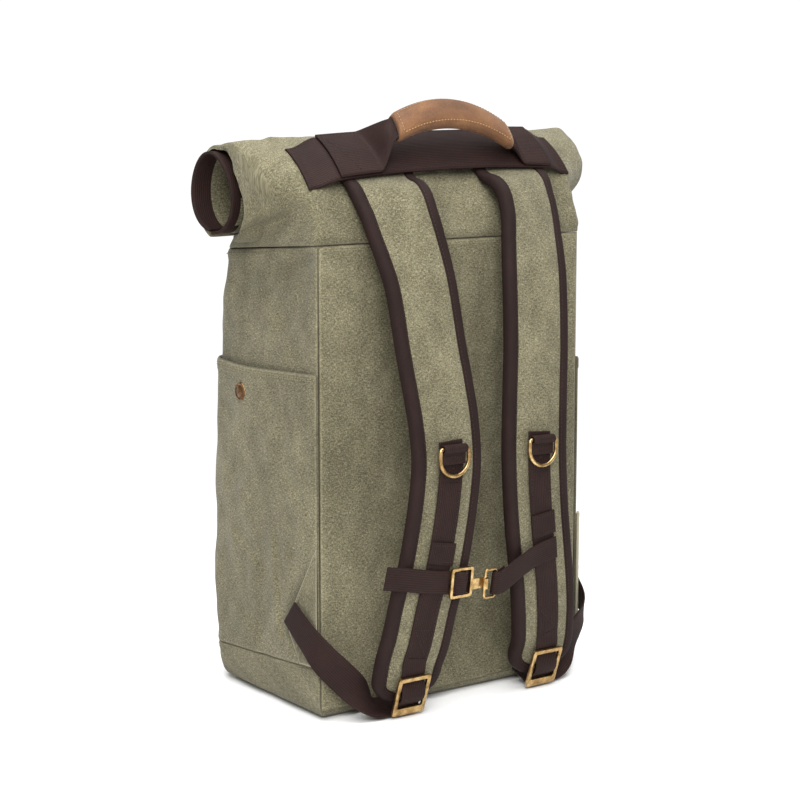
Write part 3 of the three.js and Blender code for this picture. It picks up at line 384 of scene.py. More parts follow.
def linear(r, g, b):
    """A colour given in sRGB bytes as linear values."""
    c = np.array([r, g, b]) / 255.0
    return (*np.where(c <= 0.04045, c / 12.92, ((c + 0.055) / 1.055) ** 2.4), 1.0)


class Nodes:
    """A short way to add and join shader nodes."""

    def __init__(self, name):
        self.material = bpy.data.materials.new(name)
        self.material.use_nodes = True
        self.tree = self.material.node_tree
        self.shader = self.tree.nodes["Principled BSDF"]

    def add(self, kind, inputs=None, **settings):
        """A node of a kind, with its settings and with values or sockets put into its inputs."""
        node = self.tree.nodes.new("ShaderNode" + kind)
        for key, value in settings.items():
            setattr(node, key, value)
        for key, value in (inputs or {}).items():
            self.put(value, node.inputs[key])
        return node

    def put(self, value, socket):
        """Join a socket to an input, or write a plain value into it."""
        if isinstance(value, bpy.types.NodeSocket):
            self.tree.links.new(value, socket)
        else:
            socket.default_value = value

    def math(self, kind, a, b):
        """One value and another put together by a kind of sum."""
        return self.add("Math", {0: a, 1: b}, operation=kind).outputs[0]

    def times(self, a, b):
        """One value times another."""
        return self.math("MULTIPLY", a, b)

    def weigh(self, a, share_a, b, share_b):
        """One value times its share, plus another times its own."""
        return self.math("ADD", self.times(a, share_a), self.times(b, share_b))

    def below(self, value, edge):
        """1 where a value is below an edge and 0 elsewhere."""
        return self.math("LESS_THAN", value, edge)

    def cloth(self):
        """The cloth's own places, in metres across and along it."""
        return self.add("UVMap", uv_map="cloth").outputs["UV"]

    def attribute(self, name):
        """A value that the mesh carries at its points."""
        return self.add("Attribute", attribute_name=name, attribute_type="GEOMETRY").outputs["Fac"]

    def grain(self, places, across, along, detail, rough):
        """Noise on the cloth, so many times finer than a metre across it and along it."""
        scale = (across, along, 1.0)
        stretched = self.add("VectorMath", {0: places, 1: scale}, operation="MULTIPLY").outputs[0]
        return self.noise(stretched, 1.0, detail, rough)

    def noise(self, vector, scale, detail, rough):
        """Plain noise from 0 to 1."""
        inputs = {"Vector": vector, "Scale": scale, "Detail": detail, "Roughness": rough}
        return self.add("TexNoise", inputs).outputs["Fac"]

    def ramp(self, value, stops):
        """A colour by a value, between stops of a place and a colour."""
        node = self.add("ValToRGB", {"Fac": value})
        ramp = node.color_ramp
        while len(ramp.elements) < len(stops):
            ramp.elements.new(0.5)
        for element, (place, colour) in zip(ramp.elements, stops):
            element.position, element.color = place, colour
        return node.outputs["Color"]

    def mix(self, share, a, b):
        """One colour turned into another by a share."""
        node = self.add("Mix", data_type="RGBA", blend_type="MIX")
        self.put(share, node.inputs[0])
        self.put(a, node.inputs[6])
        self.put(b, node.inputs[7])
        return node.outputs[2]

    def finish(self, colour, rough, height, distance, strength, metal=0.0, sheen=0.0, specular=0.3):
        """The shader with its colour, roughness and relief."""
        self.put(colour, self.shader.inputs["Base Color"])
        self.put(rough, self.shader.inputs["Roughness"])
        self.shader.inputs["Metallic"].default_value = metal
        self.shader.inputs["Sheen Weight"].default_value = sheen
        self.shader.inputs["Specular IOR Level"].default_value = specular
        lift = self.add("Bump", {"Strength": strength, "Distance": distance, "Height": height})
        self.put(lift.outputs["Normal"], self.shader.inputs["Normal"])
        return self.material


# How many millimetres from its edges the canvas is worn, and how many are its very rim, where shade or a
# highlight is painted.
WORN_EDGE = 2.4
RIM_EDGE = 0.7


def canvas_material(name, dark, middle, light, rim):
    """Waxed canvas: crossed slubby threads under a millimetre apart with slanting ones between them,
    mottled by the wax, paler where the edges are worn, with the rim colour painted on the very rim, as shade
    in the seams or a highlight on a folded edge, and darker by painted shade where its shade attribute is
    high."""
    n = Nodes(name)
    uv = n.cloth()
    weft = n.grain(uv, 300.0, 1350.0, 2.0, 0.55)
    warp = n.grain(uv, 1250.0, 480.0, 2.0, 0.55)
    threads = n.weigh(weft, 0.5, warp, 0.5)
    slant = n.add("Mapping", {"Vector": uv, "Rotation": (0.0, 0.0, 0.8)}).outputs["Vector"]
    twill = n.grain(slant, 480.0, 1200.0, 2.0, 0.55)
    speckle = n.weigh(threads, 0.72, twill, 0.28)
    wax = n.grain(uv, 9.0, 7.0, 5.0, 0.6)
    fine = n.grain(uv, 60.0, 45.0, 4.0, 0.6)
    tone = n.math("ADD", n.times(speckle, 0.72), n.weigh(wax, 0.17, fine, 0.11))
    colour = n.ramp(tone, [(0.4, dark), (0.5, middle), (0.61, light)])
    edge = n.attribute("edge")
    worn = n.times(n.below(edge, WORN_EDGE), n.times(fine, 0.35))
    colour = n.mix(worn, colour, light)
    # Painted light on the very rim: the rim colour is a painted seam shadow on plain canvas and a painted
    # highlight on the tab's folded edge.
    colour = n.mix(n.times(n.below(edge, RIM_EDGE), 0.5), colour, rim)
    # Painted shade: the canvas darkens where the mesh's shade attribute is high, for the shadow beside the
    # wing tab's edge.
    painted_shade = n.attribute("painted_shade")
    colour = n.mix(n.times(painted_shade, 0.7), colour, dark)
    rough = n.math("ADD", n.times(wax, 0.25), 0.72)
    height = n.weigh(speckle, 1.0, fine, 0.9)
    return n.finish(colour, rough, height, 0.0014, 0.7, sheen=0.1, specular=0.2)


# The scale at which a wave texture has one band to a metre.
ONE_BAND = 0.314


def webbing_material(name, dark, light, pitch):
    """Ribbed webbing: ribs a pitch apart run along its length, crossed by fine picks."""
    n = Nodes(name)
    uv = n.cloth()
    inputs = {"Vector": uv, "Scale": ONE_BAND / (pitch * MM), "Distortion": 0.25, "Detail": 1.0,
              "Detail Scale": 1.5}
    ribs = n.add("TexWave", inputs, wave_type="BANDS", bands_direction="X").outputs["Fac"]
    picks = n.grain(uv, 330.0, 1300.0, 2.0, 0.6)
    fade = n.grain(uv, 40.0, 22.0, 4.0, 0.55)
    mottle = n.weigh(picks, 0.4, fade, 0.45)
    tone = n.math("ADD", n.times(ribs, 0.24), mottle)
    colour = n.ramp(tone, [(0.25, dark), (0.75, light)])
    height = n.weigh(ribs, 0.6, picks, 0.5)
    rough = n.math("ADD", n.times(picks, 0.2), 0.62)
    return n.finish(colour, rough, height, 0.0005, 0.45, specular=0.16)


def leather_material():
    """Brushed leather: a fine grain under cloudy fading, darker in the pores."""
    n = Nodes("grip_leather")
    uv = n.cloth()
    cloud = n.grain(uv, 38.0, 24.0, 6.0, 0.62)
    pores = n.add("TexVoronoi", {"Vector": uv, "Scale": 1100.0}, feature="F1").outputs["Distance"]
    nap = n.grain(uv, 700.0, 500.0, 3.0, 0.6)
    tone = n.weigh(cloud, 0.75, nap, 0.25)
    colour = n.ramp(tone, [(0.3, linear(66, 40, 20)), (0.5, linear(104, 68, 38)), (0.7, linear(134, 94, 56))])
    height = n.weigh(pores, 0.5, nap, 0.5)
    rough = n.math("ADD", n.times(cloud, 0.25), 0.52)
    return n.finish(colour, rough, height, 0.0004, 0.5, sheen=0.1, specular=0.35)


def brass_material(name, dark, middle, light):
    """Antique brass: brushed metal with brown tarnish in clouds."""
    n = Nodes(name)
    place = n.add("TexCoord").outputs["Object"]
    cloud = n.noise(place, 150.0, 5.0, 0.65)
    fine = n.noise(place, 900.0, 3.0, 0.6)
    tone = n.weigh(cloud, 0.7, fine, 0.3)
    colour = n.ramp(tone, [(0.34, dark), (0.5, middle), (0.66, light)])
    rough = n.math("ADD", n.times(tone, -0.35), 0.5)
    return n.finish(colour, rough, fine, 0.0002, 0.35, metal=1.0, specular=0.5)


def thread_material(name, shade):
    """Waxed thread."""
    n = Nodes(name)
    place = n.add("TexCoord").outputs["Object"]
    fine = n.noise(place, 2500.0, 2.0, 0.6)
    colour = n.mix(n.times(fine, 0.6), shade, tuple(0.6 * c for c in shade[:3]) + (1.0,))
    return n.finish(colour, 0.7, fine, 0.0001, 0.3, specular=0.3)


CANVAS_SHADES = linear(60, 56, 41), linear(103, 98, 76), linear(154, 147, 120)
# The dark rim colour paints shade into the seams along every edge of the plain canvas.
CANVAS_FINISH = canvas_material("waxed_canvas", *CANVAS_SHADES, rim=CANVAS_SHADES[0])
# The same canvas with a pale rim colour: a painted highlight where light catches the folded edge of the wing
# tabs.
TAB_FINISH = canvas_material("waxed_canvas_rim_highlight", *CANVAS_SHADES, rim=linear(196, 190, 166))
WEBBING_FINISH = webbing_material("brown_webbing", linear(17, 9, 9), linear(48, 31, 27), pitch=1.9)
BINDING_FINISH = webbing_material("brown_binding", linear(18, 10, 10), linear(44, 29, 26), pitch=0.9)
LEATHER_FINISH = leather_material()
BRASS_SHADES = linear(108, 82, 50), linear(176, 144, 94), linear(218, 192, 142)
BRASS_FINISH = brass_material("antique_brass", *BRASS_SHADES)
SNAP_FINISH = brass_material("snap_copper", linear(58, 38, 24), linear(108, 76, 48), linear(150, 114, 78))
CANVAS_THREAD = thread_material("canvas_thread", linear(140, 134, 106))
BROWN_THREAD = thread_material("brown_thread", linear(50, 34, 28))
LEATHER_THREAD = thread_material("leather_thread", linear(176, 146, 104))


def dress(piece, slot, *nodes):
    """A piece stands for its nodes, which are hidden. Its slot is not used."""
    if nodes:
        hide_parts(*nodes)
    return piece


# Stitches: runs are gathered by thread, and each thread's runs become one mesh. A stitch is a bead
# of eight corners, each placed along, across and above it, with these triangles between them.
BEAD = np.array([
    [-0.5, 0, -0.2], [-0.3, 1, 0], [0.3, 1, 0], [0.5, 0, -0.2], [0.3, -1, 0], [-0.3, -1, 0],
    [-0.25, 0, 1], [0.25, 0, 1],
])
BEAD_FACES = np.array([
    [0, 1, 6], [1, 2, 7], [1, 7, 6], [2, 3, 7], [3, 4, 7], [4, 5, 6], [4, 6, 7], [5, 0, 6],
    [0, 3, 2], [0, 2, 1], [0, 5, 4], [0, 4, 3],
])

# Finer stitches than the canvas has: those of the webbing, short ones across it, those round the
# handle's ends and those of the leather.
FINE = {"radius": 0.3, "lift": 0.05}
SHORT = {"pitch": 2.8, "length": 2.1, "radius": 0.3, "lift": 0.05}
BOLD = {"radius": 0.32, "lift": 0.05}
LEATHER_STITCH = {"pitch": 3.2, "length": 2.2, "radius": 0.38}
stitch_runs = {}


def stitch(thread, line, normal, pitch=3.4, length=2.5, radius=0.36, lift=0.1):
    """Stitches along a line on cloth: flat six-sided beads, one every pitch, turned along the line."""
    line = np.asarray(line, float)
    normal = np.broadcast_to(np.asarray(normal, float), line.shape)
    reach = travel(line, 0)
    places = np.arange(pitch / 2, reach[-1], pitch)
    if not len(places):
        return

    def pick(values, at):
        """The values at distances along the line."""
        return np.stack([np.interp(at, reach, values[:, k]) for k in range(3)], axis=1)

    middle, out = pick(line, places), unit(pick(normal, places))
    run = unit(pick(line, places + 0.4) - pick(line, places - 0.4))
    side = unit(np.cross(out, run))
    middle = middle + out * lift
    ahead, aside, above = BEAD[None, :, :1], BEAD[None, :, 1:2], BEAD[None, :, 2:]
    points = (middle[:, None] + run[:, None] * ahead * length + side[:, None] * aside * radius
              + out[:, None] * above * radius)
    stitch_runs.setdefault(thread, []).append(points)


def sew_stitches(thread, name, material, slot):
    """Every gathered stitch of one thread as one piece."""
    points = np.concatenate(stitch_runs[thread])
    count = len(points)
    faces = (np.arange(count)[:, None, None] * len(BEAD) + BEAD_FACES[None]).reshape(-1, 3)
    flat = points.reshape(-1, 3)
    piece = build(name, flat, [faces], [flat[faces][..., :2]], materials=(material,))
    return dress(piece, slot)


# Body shape

FRONT_HEIGHTS = np.array([0, 0.1, 0.28, 0.51, 0.72, 0.9, 1.0])
FRONT_REACHES = np.array([0.95, 0.965, 0.985, 0.955, 0.9, 0.825, 0.715])
FRONT_EASE = 9

# The dents of a side wall: height and depth as shares, how deep, how tall and how wide.
SIDE_DENTS = [(0.955, 0.2, 4.0, 0.04, 0.22), (0.2, 0.45, 2.2, 0.13, 0.05)]

# Creases of the canvas: where each starts and ends on its wall, its width and its depth.
BACK_CREASES = [((-120, 60), (-60, 150), 9, 1.1)]
SIDE_CREASES = [
    ((-86, 377), (20, 366), 5.5, 3.4), ((-30, 350), (60, 360), 7, 2.6), ((-70, 345), (-20, 310), 8, 2.0),
]
FRONT_CREASES = [
    ((-80, 350), (60, 362), 8, 2.0), ((-20, 60), (70, 80), 9, 1.5), ((-90, 120), (-40, 200), 9, 1.3),
]
POCKET_CREASES = [
    ((-60, 258), (-5, 236), 6, 2.0), ((-42, 52), (-36, 150), 5, 3.4), ((-66, 75), (-60, 140), 5, 2.0),
    ((8, 205), (52, 172), 7, 2.4), ((-24, 118), (40, 152), 8, 2.4), ((-78, 180), (-38, 208), 6, 1.6),
    ((-10, 62), (48, 90), 8, 2.2), ((30, 240), (60, 262), 6, 1.8),
]


def seam_height(x, y):
    """The seam between body and collar rises to the right and falls to the front."""
    return BODY_HEIGHT + (SEAM_RISE / 2) * (x / HALF_WIDTH) - (SEAM_DROP / 2) * (y / HALF_DEPTH)


def front_reach(z):
    """How far the front stands from the middle, by height, with its corners eased."""
    heights = [np.clip((z + shift) / BODY_HEIGHT, 0, 1) for shift in (-FRONT_EASE, 0, FRONT_EASE)]
    eased = sum(np.interp(height, FRONT_HEIGHTS, FRONT_REACHES) for height in heights) / 3
    return HALF_DEPTH * eased


def side_swell(y, z):
    """How far a side wall stands out of its plane, less its two soft dents."""
    height = z / BODY_HEIGHT
    depth = np.clip((y + HALF_DEPTH) / (2 * HALF_DEPTH), 0, 1)
    held = np.maximum(0, np.sin(PI * height)) * np.maximum(0, np.sin(PI * depth)) ** 0.5
    swell = SIDE_BULGE * held
    for high, deep, push, tall, wide in SIDE_DENTS:
        swell = swell - push * bump(height, high, tall) * bump(depth, deep, wide) * smooth(depth, 0, 0.12)
    return swell


def side_point(side, share, z, out):
    """A side wall: share 0 is the rear corner, 1 the end of the front corner's round."""
    share, z = np.broadcast_arrays(np.asarray(share, float), np.asarray(z, float))
    rear = -HALF_DEPTH - out + CORNER_GAP
    straight = front_reach(z) - FRONT_RADIUS
    along = np.minimum(share / ROUND_SHARE, 1)
    y = rear + (straight - rear) * along
    flat = HALF_WIDTH + out + side_swell(y, z) * (1 - along ** 6)
    turn = np.maximum(0, (share - ROUND_SHARE) / (1 - ROUND_SHARE)) * (PI / 2)
    radius = FRONT_RADIUS + out
    x = np.where(share <= ROUND_SHARE, flat, HALF_WIDTH - FRONT_RADIUS + radius * np.cos(turn))
    y = np.where(share <= ROUND_SHARE, y, straight + radius * np.sin(turn))
    return np.stack([side * x, y, z], axis=-1)


def front_point(share, z, out):
    """The front wall, crowned across and up its middle."""
    share, z = np.broadcast_arrays(np.asarray(share, float), np.asarray(z, float))
    held = np.sin(PI * np.clip(z / BODY_HEIGHT, 0, 1))
    x = (2 * share - 1) * (HALF_WIDTH - FRONT_RADIUS - SEAM_GAP / 2)
    return np.stack([x, front_reach(z) + out + FRONT_BULGE * held * np.sin(PI * share), z], axis=-1)


def back_point(share, z, out):
    """The flat back wall."""
    share, z = np.broadcast_arrays(np.asarray(share, float), np.asarray(z, float))
    return np.stack([(2 * share - 1) * (HALF_WIDTH + out), np.full(z.shape, -HALF_DEPTH - out), z], axis=-1)


def tray_top(y):
    """Height of the tray's rim on the sides."""
    return TRAY_REAR + (TRAY_FRONT - TRAY_REAR) * (y + HALF_DEPTH) / (2 * HALF_DEPTH)


def panel(name, place, bottom, relief, columns, rows):
    """One canvas wall from its bottom seam to the collar seam, with relief pushed along its normals."""
    shares = np.linspace(0, 1, columns)
    guess = place(shares, BODY_HEIGHT, 0)
    top = seam_height(guess[:, 0], guess[:, 1]) - SEAM_GAP / 2
    low = bottom(guess[:, 1]) + SEAM_GAP / 2
    z = low + (top - low) * np.linspace(0, 1, rows)[:, None]
    outer, inner = place(shares[None], z, 0), place(shares[None], z, -CANVAS)
    out = unit(outer - inner)
    u, v = travel(outer, 1), travel(outer, 0)
    edge = np.minimum(np.minimum(u, u[:, -1:] - u), v[-1:] - v)
    push = relief(outer) * smooth(edge, 0, 12) + seam_roll(edge)
    pucker = ripple(u, v, 11, 0.35, 7) * np.exp(-edge / 9.0) * smooth(edge, 0.5, 3)
    outer = outer + out * (push + pucker)[..., None]
    inner = inner + out * np.minimum(push, 0)[..., None]
    return dress(wall(name + "_cloth", outer, inner, CANVAS_FINISH), "canvas", name)


def back_relief(p):
    """Nearly flat, with a few slack waves."""
    x, z = p[..., 0], p[..., 2]
    return ripple(x, z, 110, 0.9, 3) + creases(x, z, BACK_CREASES) + ripple(x, z, 38, 0.25, 4)


def side_relief(p):
    """Slack canvas above the pocket: level folds under the collar and slight unevenness."""
    y, z = p[..., 1], p[..., 2]
    return creases(y, z, SIDE_CREASES) + ripple(y, z, 70, 0.9, 5) + ripple(y, z, 26, 0.3, 6) - 0.5


def front_relief(p):
    """The slack front wall: a few soft creases and waves."""
    x, z = p[..., 0], p[..., 2]
    return creases(x, z, FRONT_CREASES) + ripple(x, z, 90, 1.1, 8) + ripple(x, z, 34, 0.3, 9)


def rear_rim(y):
    """Height of the tray's rim along the back."""
    return np.full_like(y, REAR_RIM)


def front_rim(y):
    """Height of the tray's rim along the front."""
    return np.full_like(y, TRAY_FRONT)


def left_point(share, z, out):
    """The left side wall."""
    return side_point(-1, share, z, out)


def right_point(share, z, out):
    """The right side wall."""
    return side_point(1, share, z, out)


SIDES = (("left", -1), ("right", 1))

panel("back_panel", back_point, rear_rim, back_relief, columns=110, rows=120)
panel("front_panel", front_point, front_rim, front_relief, columns=90, rows=110)
panel("side_panel_left", left_point, tray_top, side_relief, columns=90, rows=110)
panel("side_panel_right", right_point, tray_top, side_relief, columns=90, rows=110)


# How far below the rim its hem is stitched, the columns of the base's two side walls, and how far
# its lower edge is worn in, up to what height, with the share of that at the back.
HEM_STITCH = 3.2
HEM_COLUMNS = ((52, 109), (161, 218))
BASE_WEAR = 8.0
BASE_WEAR_HEIGHT = 24.0
BASE_WEAR_REAR = 0.4


def base_tray():
    """The base: flat underside, rounded edge and upturned rim, with a hem stitched along the rim."""
    sides = np.linspace(0, 1, 60)
    flat = np.linspace(0, 1, 50)
    right_wear = BASE_WEAR_REAR + (1 - BASE_WEAR_REAR) * sides
    runs = [(back_point, flat, rear_rim, np.full_like(flat, BASE_WEAR_REAR)),
            (right_point, sides, tray_top, right_wear),
            (front_point, 1 - flat, front_rim, np.ones_like(flat)),
            (left_point, sides[::-1], tray_top, right_wear[::-1])]

    def eased(place, s, z, out, wear):
        """The base's lower edge, rubbed round, most at the front."""
        low = np.maximum(0, 1 - z / BASE_WEAR_HEIGHT) ** 2
        return place(s, z, out - BASE_WEAR * low * wear)

    def grid(out):
        """Rings from the underside round the lower edge and up to the rim, all so far out."""
        radius = TRAY_RADIUS + out
        rows = []
        for turn in np.linspace(0, PI / 2, 9):
            shift = out - radius * (1 - math.sin(turn))
            height = max(0.0, TRAY_RADIUS - radius * math.cos(turn))
            rows.append(np.concatenate([eased(place, s, height, shift, wear) for place, s, _, wear in runs]))
        for lift in np.linspace(0, 1, 13)[1:]:
            ring = []
            for place, s, top, wear in runs:
                rim = top(place(s, TRAY_FRONT, out)[:, 1]) - SEAM_GAP / 2
                ring.append(eased(place, s, TRAY_RADIUS + (rim - TRAY_RADIUS) * lift, out, wear))
            rows.append(np.concatenate(ring))
        return np.stack(rows)

    outer, inner = grid(0.0), grid(-CANVAS)
    wave = ripple(outer[..., 1] + outer[..., 0], outer[..., 2] * 2, 40, 0.8, 12)
    wave = wave + 1.2 * np.sin(PI * np.clip(outer[..., 2] / TRAY_REAR, 0, 1))
    held = smooth(outer[..., 2], 1.0, 10.0)
    out = unit(outer - inner)
    rim = outer[-1:, :, 2] - outer[..., 2]
    hem = 0.7 * (1 - smooth(rim, 7, 8.5)) * smooth(rim, -0.5, 1.2)
    level = np.where(np.abs(outer[..., 1] + HALF_DEPTH) < 0.5, 0.0, 1.0)
    outer = outer + out * ((wave * 0.8 + hem * level) * held)[..., None]
    centres = np.array([[0, 0, 0], [0, 0, CANVAS]], float)
    piece = wall("base_cloth", outer, inner, CANVAS_FINISH, closed=True, centres=centres)
    for first, last in HEM_COLUMNS:
        line = outer[-1, first:last] + np.array([0, 0, -HEM_STITCH])
        stitch("canvas", line + out[-1, first:last] * 0.75, out[-1, first:last])
    return dress(piece, "canvas", "base_panel")


base_tray()

# Collar and roll

# Back and front of each section in the middle of the bag, how far it flares past the body, how
# square its side fold is and how round its front corner.
SECTIONS = np.array([
    [-1, 0.031, 0.715, -0.026, 0, 0, 1],
    [-1.005, 0.12, 0.6, 0.04, 0.08, 0.1, 0.9],
    [-0.967, 0.262, 0.47, 0.085, 0.17, 0.2, 0.75],
    [-0.912, 0.398, 0.33, 0.09, 0.35, 0.3, 0.6],
    [-0.857, 0.513, 0.12, 0.055, 0.62, 0.4, 0.45],
    [-0.758, 0.639, -0.12, 0.1, 0.84, 0.5, 0.32],
    [-0.637, 0.754, -0.24, 0.25, 0.94, 0.6, 0.2],
    [-0.484, 0.859, -0.25, 0.48, 0.97, 0.7, 0.12],
    [-0.308, 0.937, -0.187, 0.7, 0.98, 0.8, 0.08],
    [-0.154, 0.984, -0.105, 0.86, 0.99, 0.9, 0.04],
])


def tilt_at(z):
    """The collar tilts up to the right, more and more up to half its height."""
    raised = np.clip((z - BODY_HEIGHT) / (COLLAR_HEIGHT * 0.5), 0, 1)
    return SEAM_RISE / 2 + (ROLL_TILT - SEAM_RISE / 2) * raised


def winding(turn, inside):
    """A point of the roll in the YZ plane at a turn, so far inside its outer layer."""
    turn = np.asarray(turn, float)
    return np.stack([ROLL_Y + (ROLL_RADIUS_Y - inside) * np.cos(turn),
                     ROLL_Z + (ROLL_RADIUS_Z - inside) * np.sin(turn)], axis=-1)


BACK_COLUMNS = 61
TURN_COLUMNS = 22
ROUND_COLUMNS = 7


def collar_ring(back, front, flare, shoulder, corner, inset, tilt):
    """One closed section from the left rear corner by the back, right and front.

    Each side's fold is a rational curve from the back layer out to the flared end, then a round
    corner onto the front layer."""
    back, front = np.asarray(back, float), np.asarray(front, float)
    deep = np.hypot(*(front - back))
    shrink = (deep - 2 * inset) / deep

    def half(sign):
        """Half the section's width on one side, between the body's and the roll's."""
        reach = REACH_LEFT if sign < 0 else REACH_RIGHT
        return HALF_WIDTH + flare * (reach - HALF_WIDTH)

    bend_radius = min(corner * FRONT_RADIUS, deep * 0.45)

    def side_turn(sign):
        """The points of one side, from the back layer round to the front one."""
        edge, weight = half(sign), 1 + 4 * shoulder
        t = np.linspace(0, 1, TURN_COLUMNS)
        bend = 2 * t * (1 - t) * weight
        total = (1 - t) ** 2 + bend + t ** 2
        x = ((1 - t) ** 2 * HALF_WIDTH + (bend + t ** 2) * edge) / total
        share = (bend * (0.5 - 0.48 * shoulder) + t ** 2) / total * (1 - bend_radius / deep)
        turn = np.linspace(0, PI / 2, ROUND_COLUMNS + 1)[1:]
        x = np.concatenate([x, edge - min(bend_radius, edge) * (1 - np.cos(turn))])
        share = np.concatenate([share, 1 - (bend_radius / deep) * (1 - np.sin(turn))])
        return np.stack([sign * x, share], axis=1)

    across = np.linspace(-HALF_WIDTH, HALF_WIDTH, BACK_COLUMNS)[:-1]
    front_x = np.linspace(half(1) - bend_radius, -(half(-1) - bend_radius), BACK_COLUMNS)[1:-1]
    outline = np.concatenate([np.stack([across, np.zeros_like(across)], 1), side_turn(1),
                              np.stack([front_x, np.ones_like(front_x)], 1), side_turn(-1)[::-1][:-1]])
    x, share = outline[:, 0], outline[:, 1]
    edge = np.where(x < 0, half(-1), half(1))
    kept = x * (edge - inset) / edge
    centred = 0.5 + (share - 0.5) * shrink
    yz = back + (front - back) * centred[:, None]
    return np.stack([kept, yz[:, 0], yz[:, 1] + tilt(yz[:, 1]) * (kept / HALF_WIDTH)], axis=1)


def scoop(p):
    """The hollow pressed into each side of the collar under the flaring end of the roll."""
    out = np.abs(p[..., 0]) - HALF_WIDTH * 0.97
    upward = bump(p[..., 2] - BODY_HEIGHT, COLLAR_HEIGHT * 0.3, COLLAR_HEIGHT * 0.15)
    endways = bump(p[..., 1], -HALF_DEPTH * 0.5, HALF_DEPTH * 0.3)
    depth = SCOOP_DEPTH * smooth(out, 0, 4) * upward * endways
    moved = p.copy()
    moved[..., 0] -= np.sign(p[..., 0]) * depth
    return moved


def roll_tilt(z):
    """The winding tilts by the same amount at every height."""
    return ROLL_TILT + 0 * z


def roll_collar():
    """Collar sections are blended smoothly up the collar, then carried on round the winding."""
    settings = np.stack([SECTIONS[:, 0] * HALF_DEPTH, BODY_HEIGHT + SECTIONS[:, 1] * COLLAR_HEIGHT,
                         SECTIONS[:, 2] * HALF_DEPTH, BODY_HEIGHT + SECTIONS[:, 3] * COLLAR_HEIGHT,
                         *SECTIONS[:, 4:].T], axis=1)
    turns = np.linspace(1.75, -1.25, 42)
    wound = np.array([[*winding(turn, 0), *winding(turn, LAYER_PAIR), 1, 1, 0.03] for turn in turns])
    rising = spline(np.concatenate([settings, wound[:1], wound[5:6]]), np.linspace(0, 10 / 11, 71))
    rows = np.concatenate([rising[:-1], wound])

    def grid(inset):
        """Every section of the collar and its winding, all so far inside."""
        rings = []
        for index, (by, bz, fy, fz, flare, shoulder, corner) in enumerate(rows):
            tilt = tilt_at if index < len(rising) - 1 else roll_tilt
            flare, shoulder = np.clip([flare, shoulder], 0, 1)
            rings.append(collar_ring((by, bz), (fy, fz), flare, shoulder, max(corner, 0.03), inset, tilt))
        return np.stack(rings)

    outer, inner = grid(0.0), grid(CANVAS)
    up = smooth(outer[..., 2], BODY_HEIGHT + 2, BODY_HEIGHT + 22)
    outer, inner = scoop(outer), scoop(inner)
    for g in (outer, inner):
        g[0, :, 2] = seam_height(g[0, :, 0], g[0, :, 1]) + SEAM_GAP / 2
    out = normals(outer, closed=True)
    centre = outer.mean(axis=1, keepdims=True)
    out = out * np.sign(np.einsum("rck,rck->rc", out, outer - centre).mean())
    across, along = travel(outer, 1), travel(outer, 0)
    soft = ripple(outer[..., 0] + 0.4 * outer[..., 1], outer[..., 2] * 1.3 + outer[..., 1], 55, 1.0, 21)
    soft = soft + ripple(outer[..., 0], outer[..., 2] + outer[..., 1], 24, 0.3, 22)
    last = len(rows) - 1
    row = np.arange(last + 1)[:, None]
    free = smooth(row, 0, 10) * (1 - smooth(row, last - 12, last))
    seam_left, seam_right = across[:, :1] * 0, across[:, BACK_COLUMNS - 1:BACK_COLUMNS]
    girth = across[:, -1:] + np.linalg.norm(outer[:, -1] - outer[:, 0], axis=1)[:, None]
    near = np.minimum(np.minimum(across - seam_left, girth - across), np.abs(across - seam_right))
    groove = -1.3 * np.exp(-(near / 1.3) ** 2) + 0.5 * np.exp(-((near - 4.5) / 3.5) ** 2)
    groove = groove * smooth(row, 0, 3) * (1 - smooth(row, 66, 74))
    root = np.where(row < 30, seam_roll(along), 0)
    push = soft * free * up + groove + root
    outer = outer + out * push[..., None]
    inner = inner + out * np.minimum(push, 0)[..., None]
    piece = wall("collar_cloth", outer, inner, CANVAS_FINISH, closed=True)
    return dress(piece, "canvas", "roll_collar")


roll_collar()


MOUTH_ROWS = 90


def mouth_binding():
    """The mouth wound on inside the roll: a spiral sheet, canvas with brown webbing at both ends."""
    turns = np.linspace(-1.45, -7.6, MOUTH_ROWS)
    inwards = np.linspace(0, 22, MOUTH_ROWS)
    wound = LAYER_PAIR + 0.8 + 0.5 * inwards / 22 - 1.5 * (1 - smooth(inwards, 0, 3))
    edge = np.array([1, 0.985, 0.94, 0.9, 0.86])
    left, right = -(REACH_LEFT + MOUTH_REACH), REACH_RIGHT + MOUTH_REACH
    x = np.concatenate([left * edge, np.linspace(-140, 150, 24), (right * edge)[::-1]])

    rear = (1 - np.cos(turns)) / 2 * (1 - 0.5 * np.sin(turns))
    outside = smooth(np.abs(x), REACH_LEFT * 0.8, REACH_LEFT + MOUTH_REACH)
    held = x[None] * (1 - 0.055 * rear[:, None] * outside[None])

    def sheet(inside):
        """The spiral sheet as a surface, so far inside its outer face."""
        yz = winding(turns, wound + inside)
        z = yz[:, None, 1] + ROLL_TILT * held / HALF_WIDTH
        y = np.broadcast_to(yz[:, None, 0], z.shape)
        return np.stack([held, y, z], axis=-1)

    outer, inner = sheet(0.0), sheet(MOUTH_WEBBING)

    def paint(middle):
        """Webbing at both ends of the mouth and canvas between them."""
        return np.where((middle[:, 0] < left * 0.88) | (middle[:, 0] > right * 0.88), 0, 1)

    piece = wall("mouth_webbing", outer, inner, WEBBING_FINISH, paint=paint, second=CANVAS_FINISH)
    return dress(piece, "webbing", "mouth_binding")


mouth_binding()

# The line up the back of the collar, and the distance along it.
COLLAR_LINE = np.stack([np.zeros(len(SECTIONS)), SECTIONS[:, 0] * HALF_DEPTH,
                        BODY_HEIGHT + SECTIONS[:, 1] * COLLAR_HEIGHT], axis=1)
LINE_T = np.linspace(0, 1, 801)
LINE_REACH = travel(spline(COLLAR_LINE, LINE_T), 0)


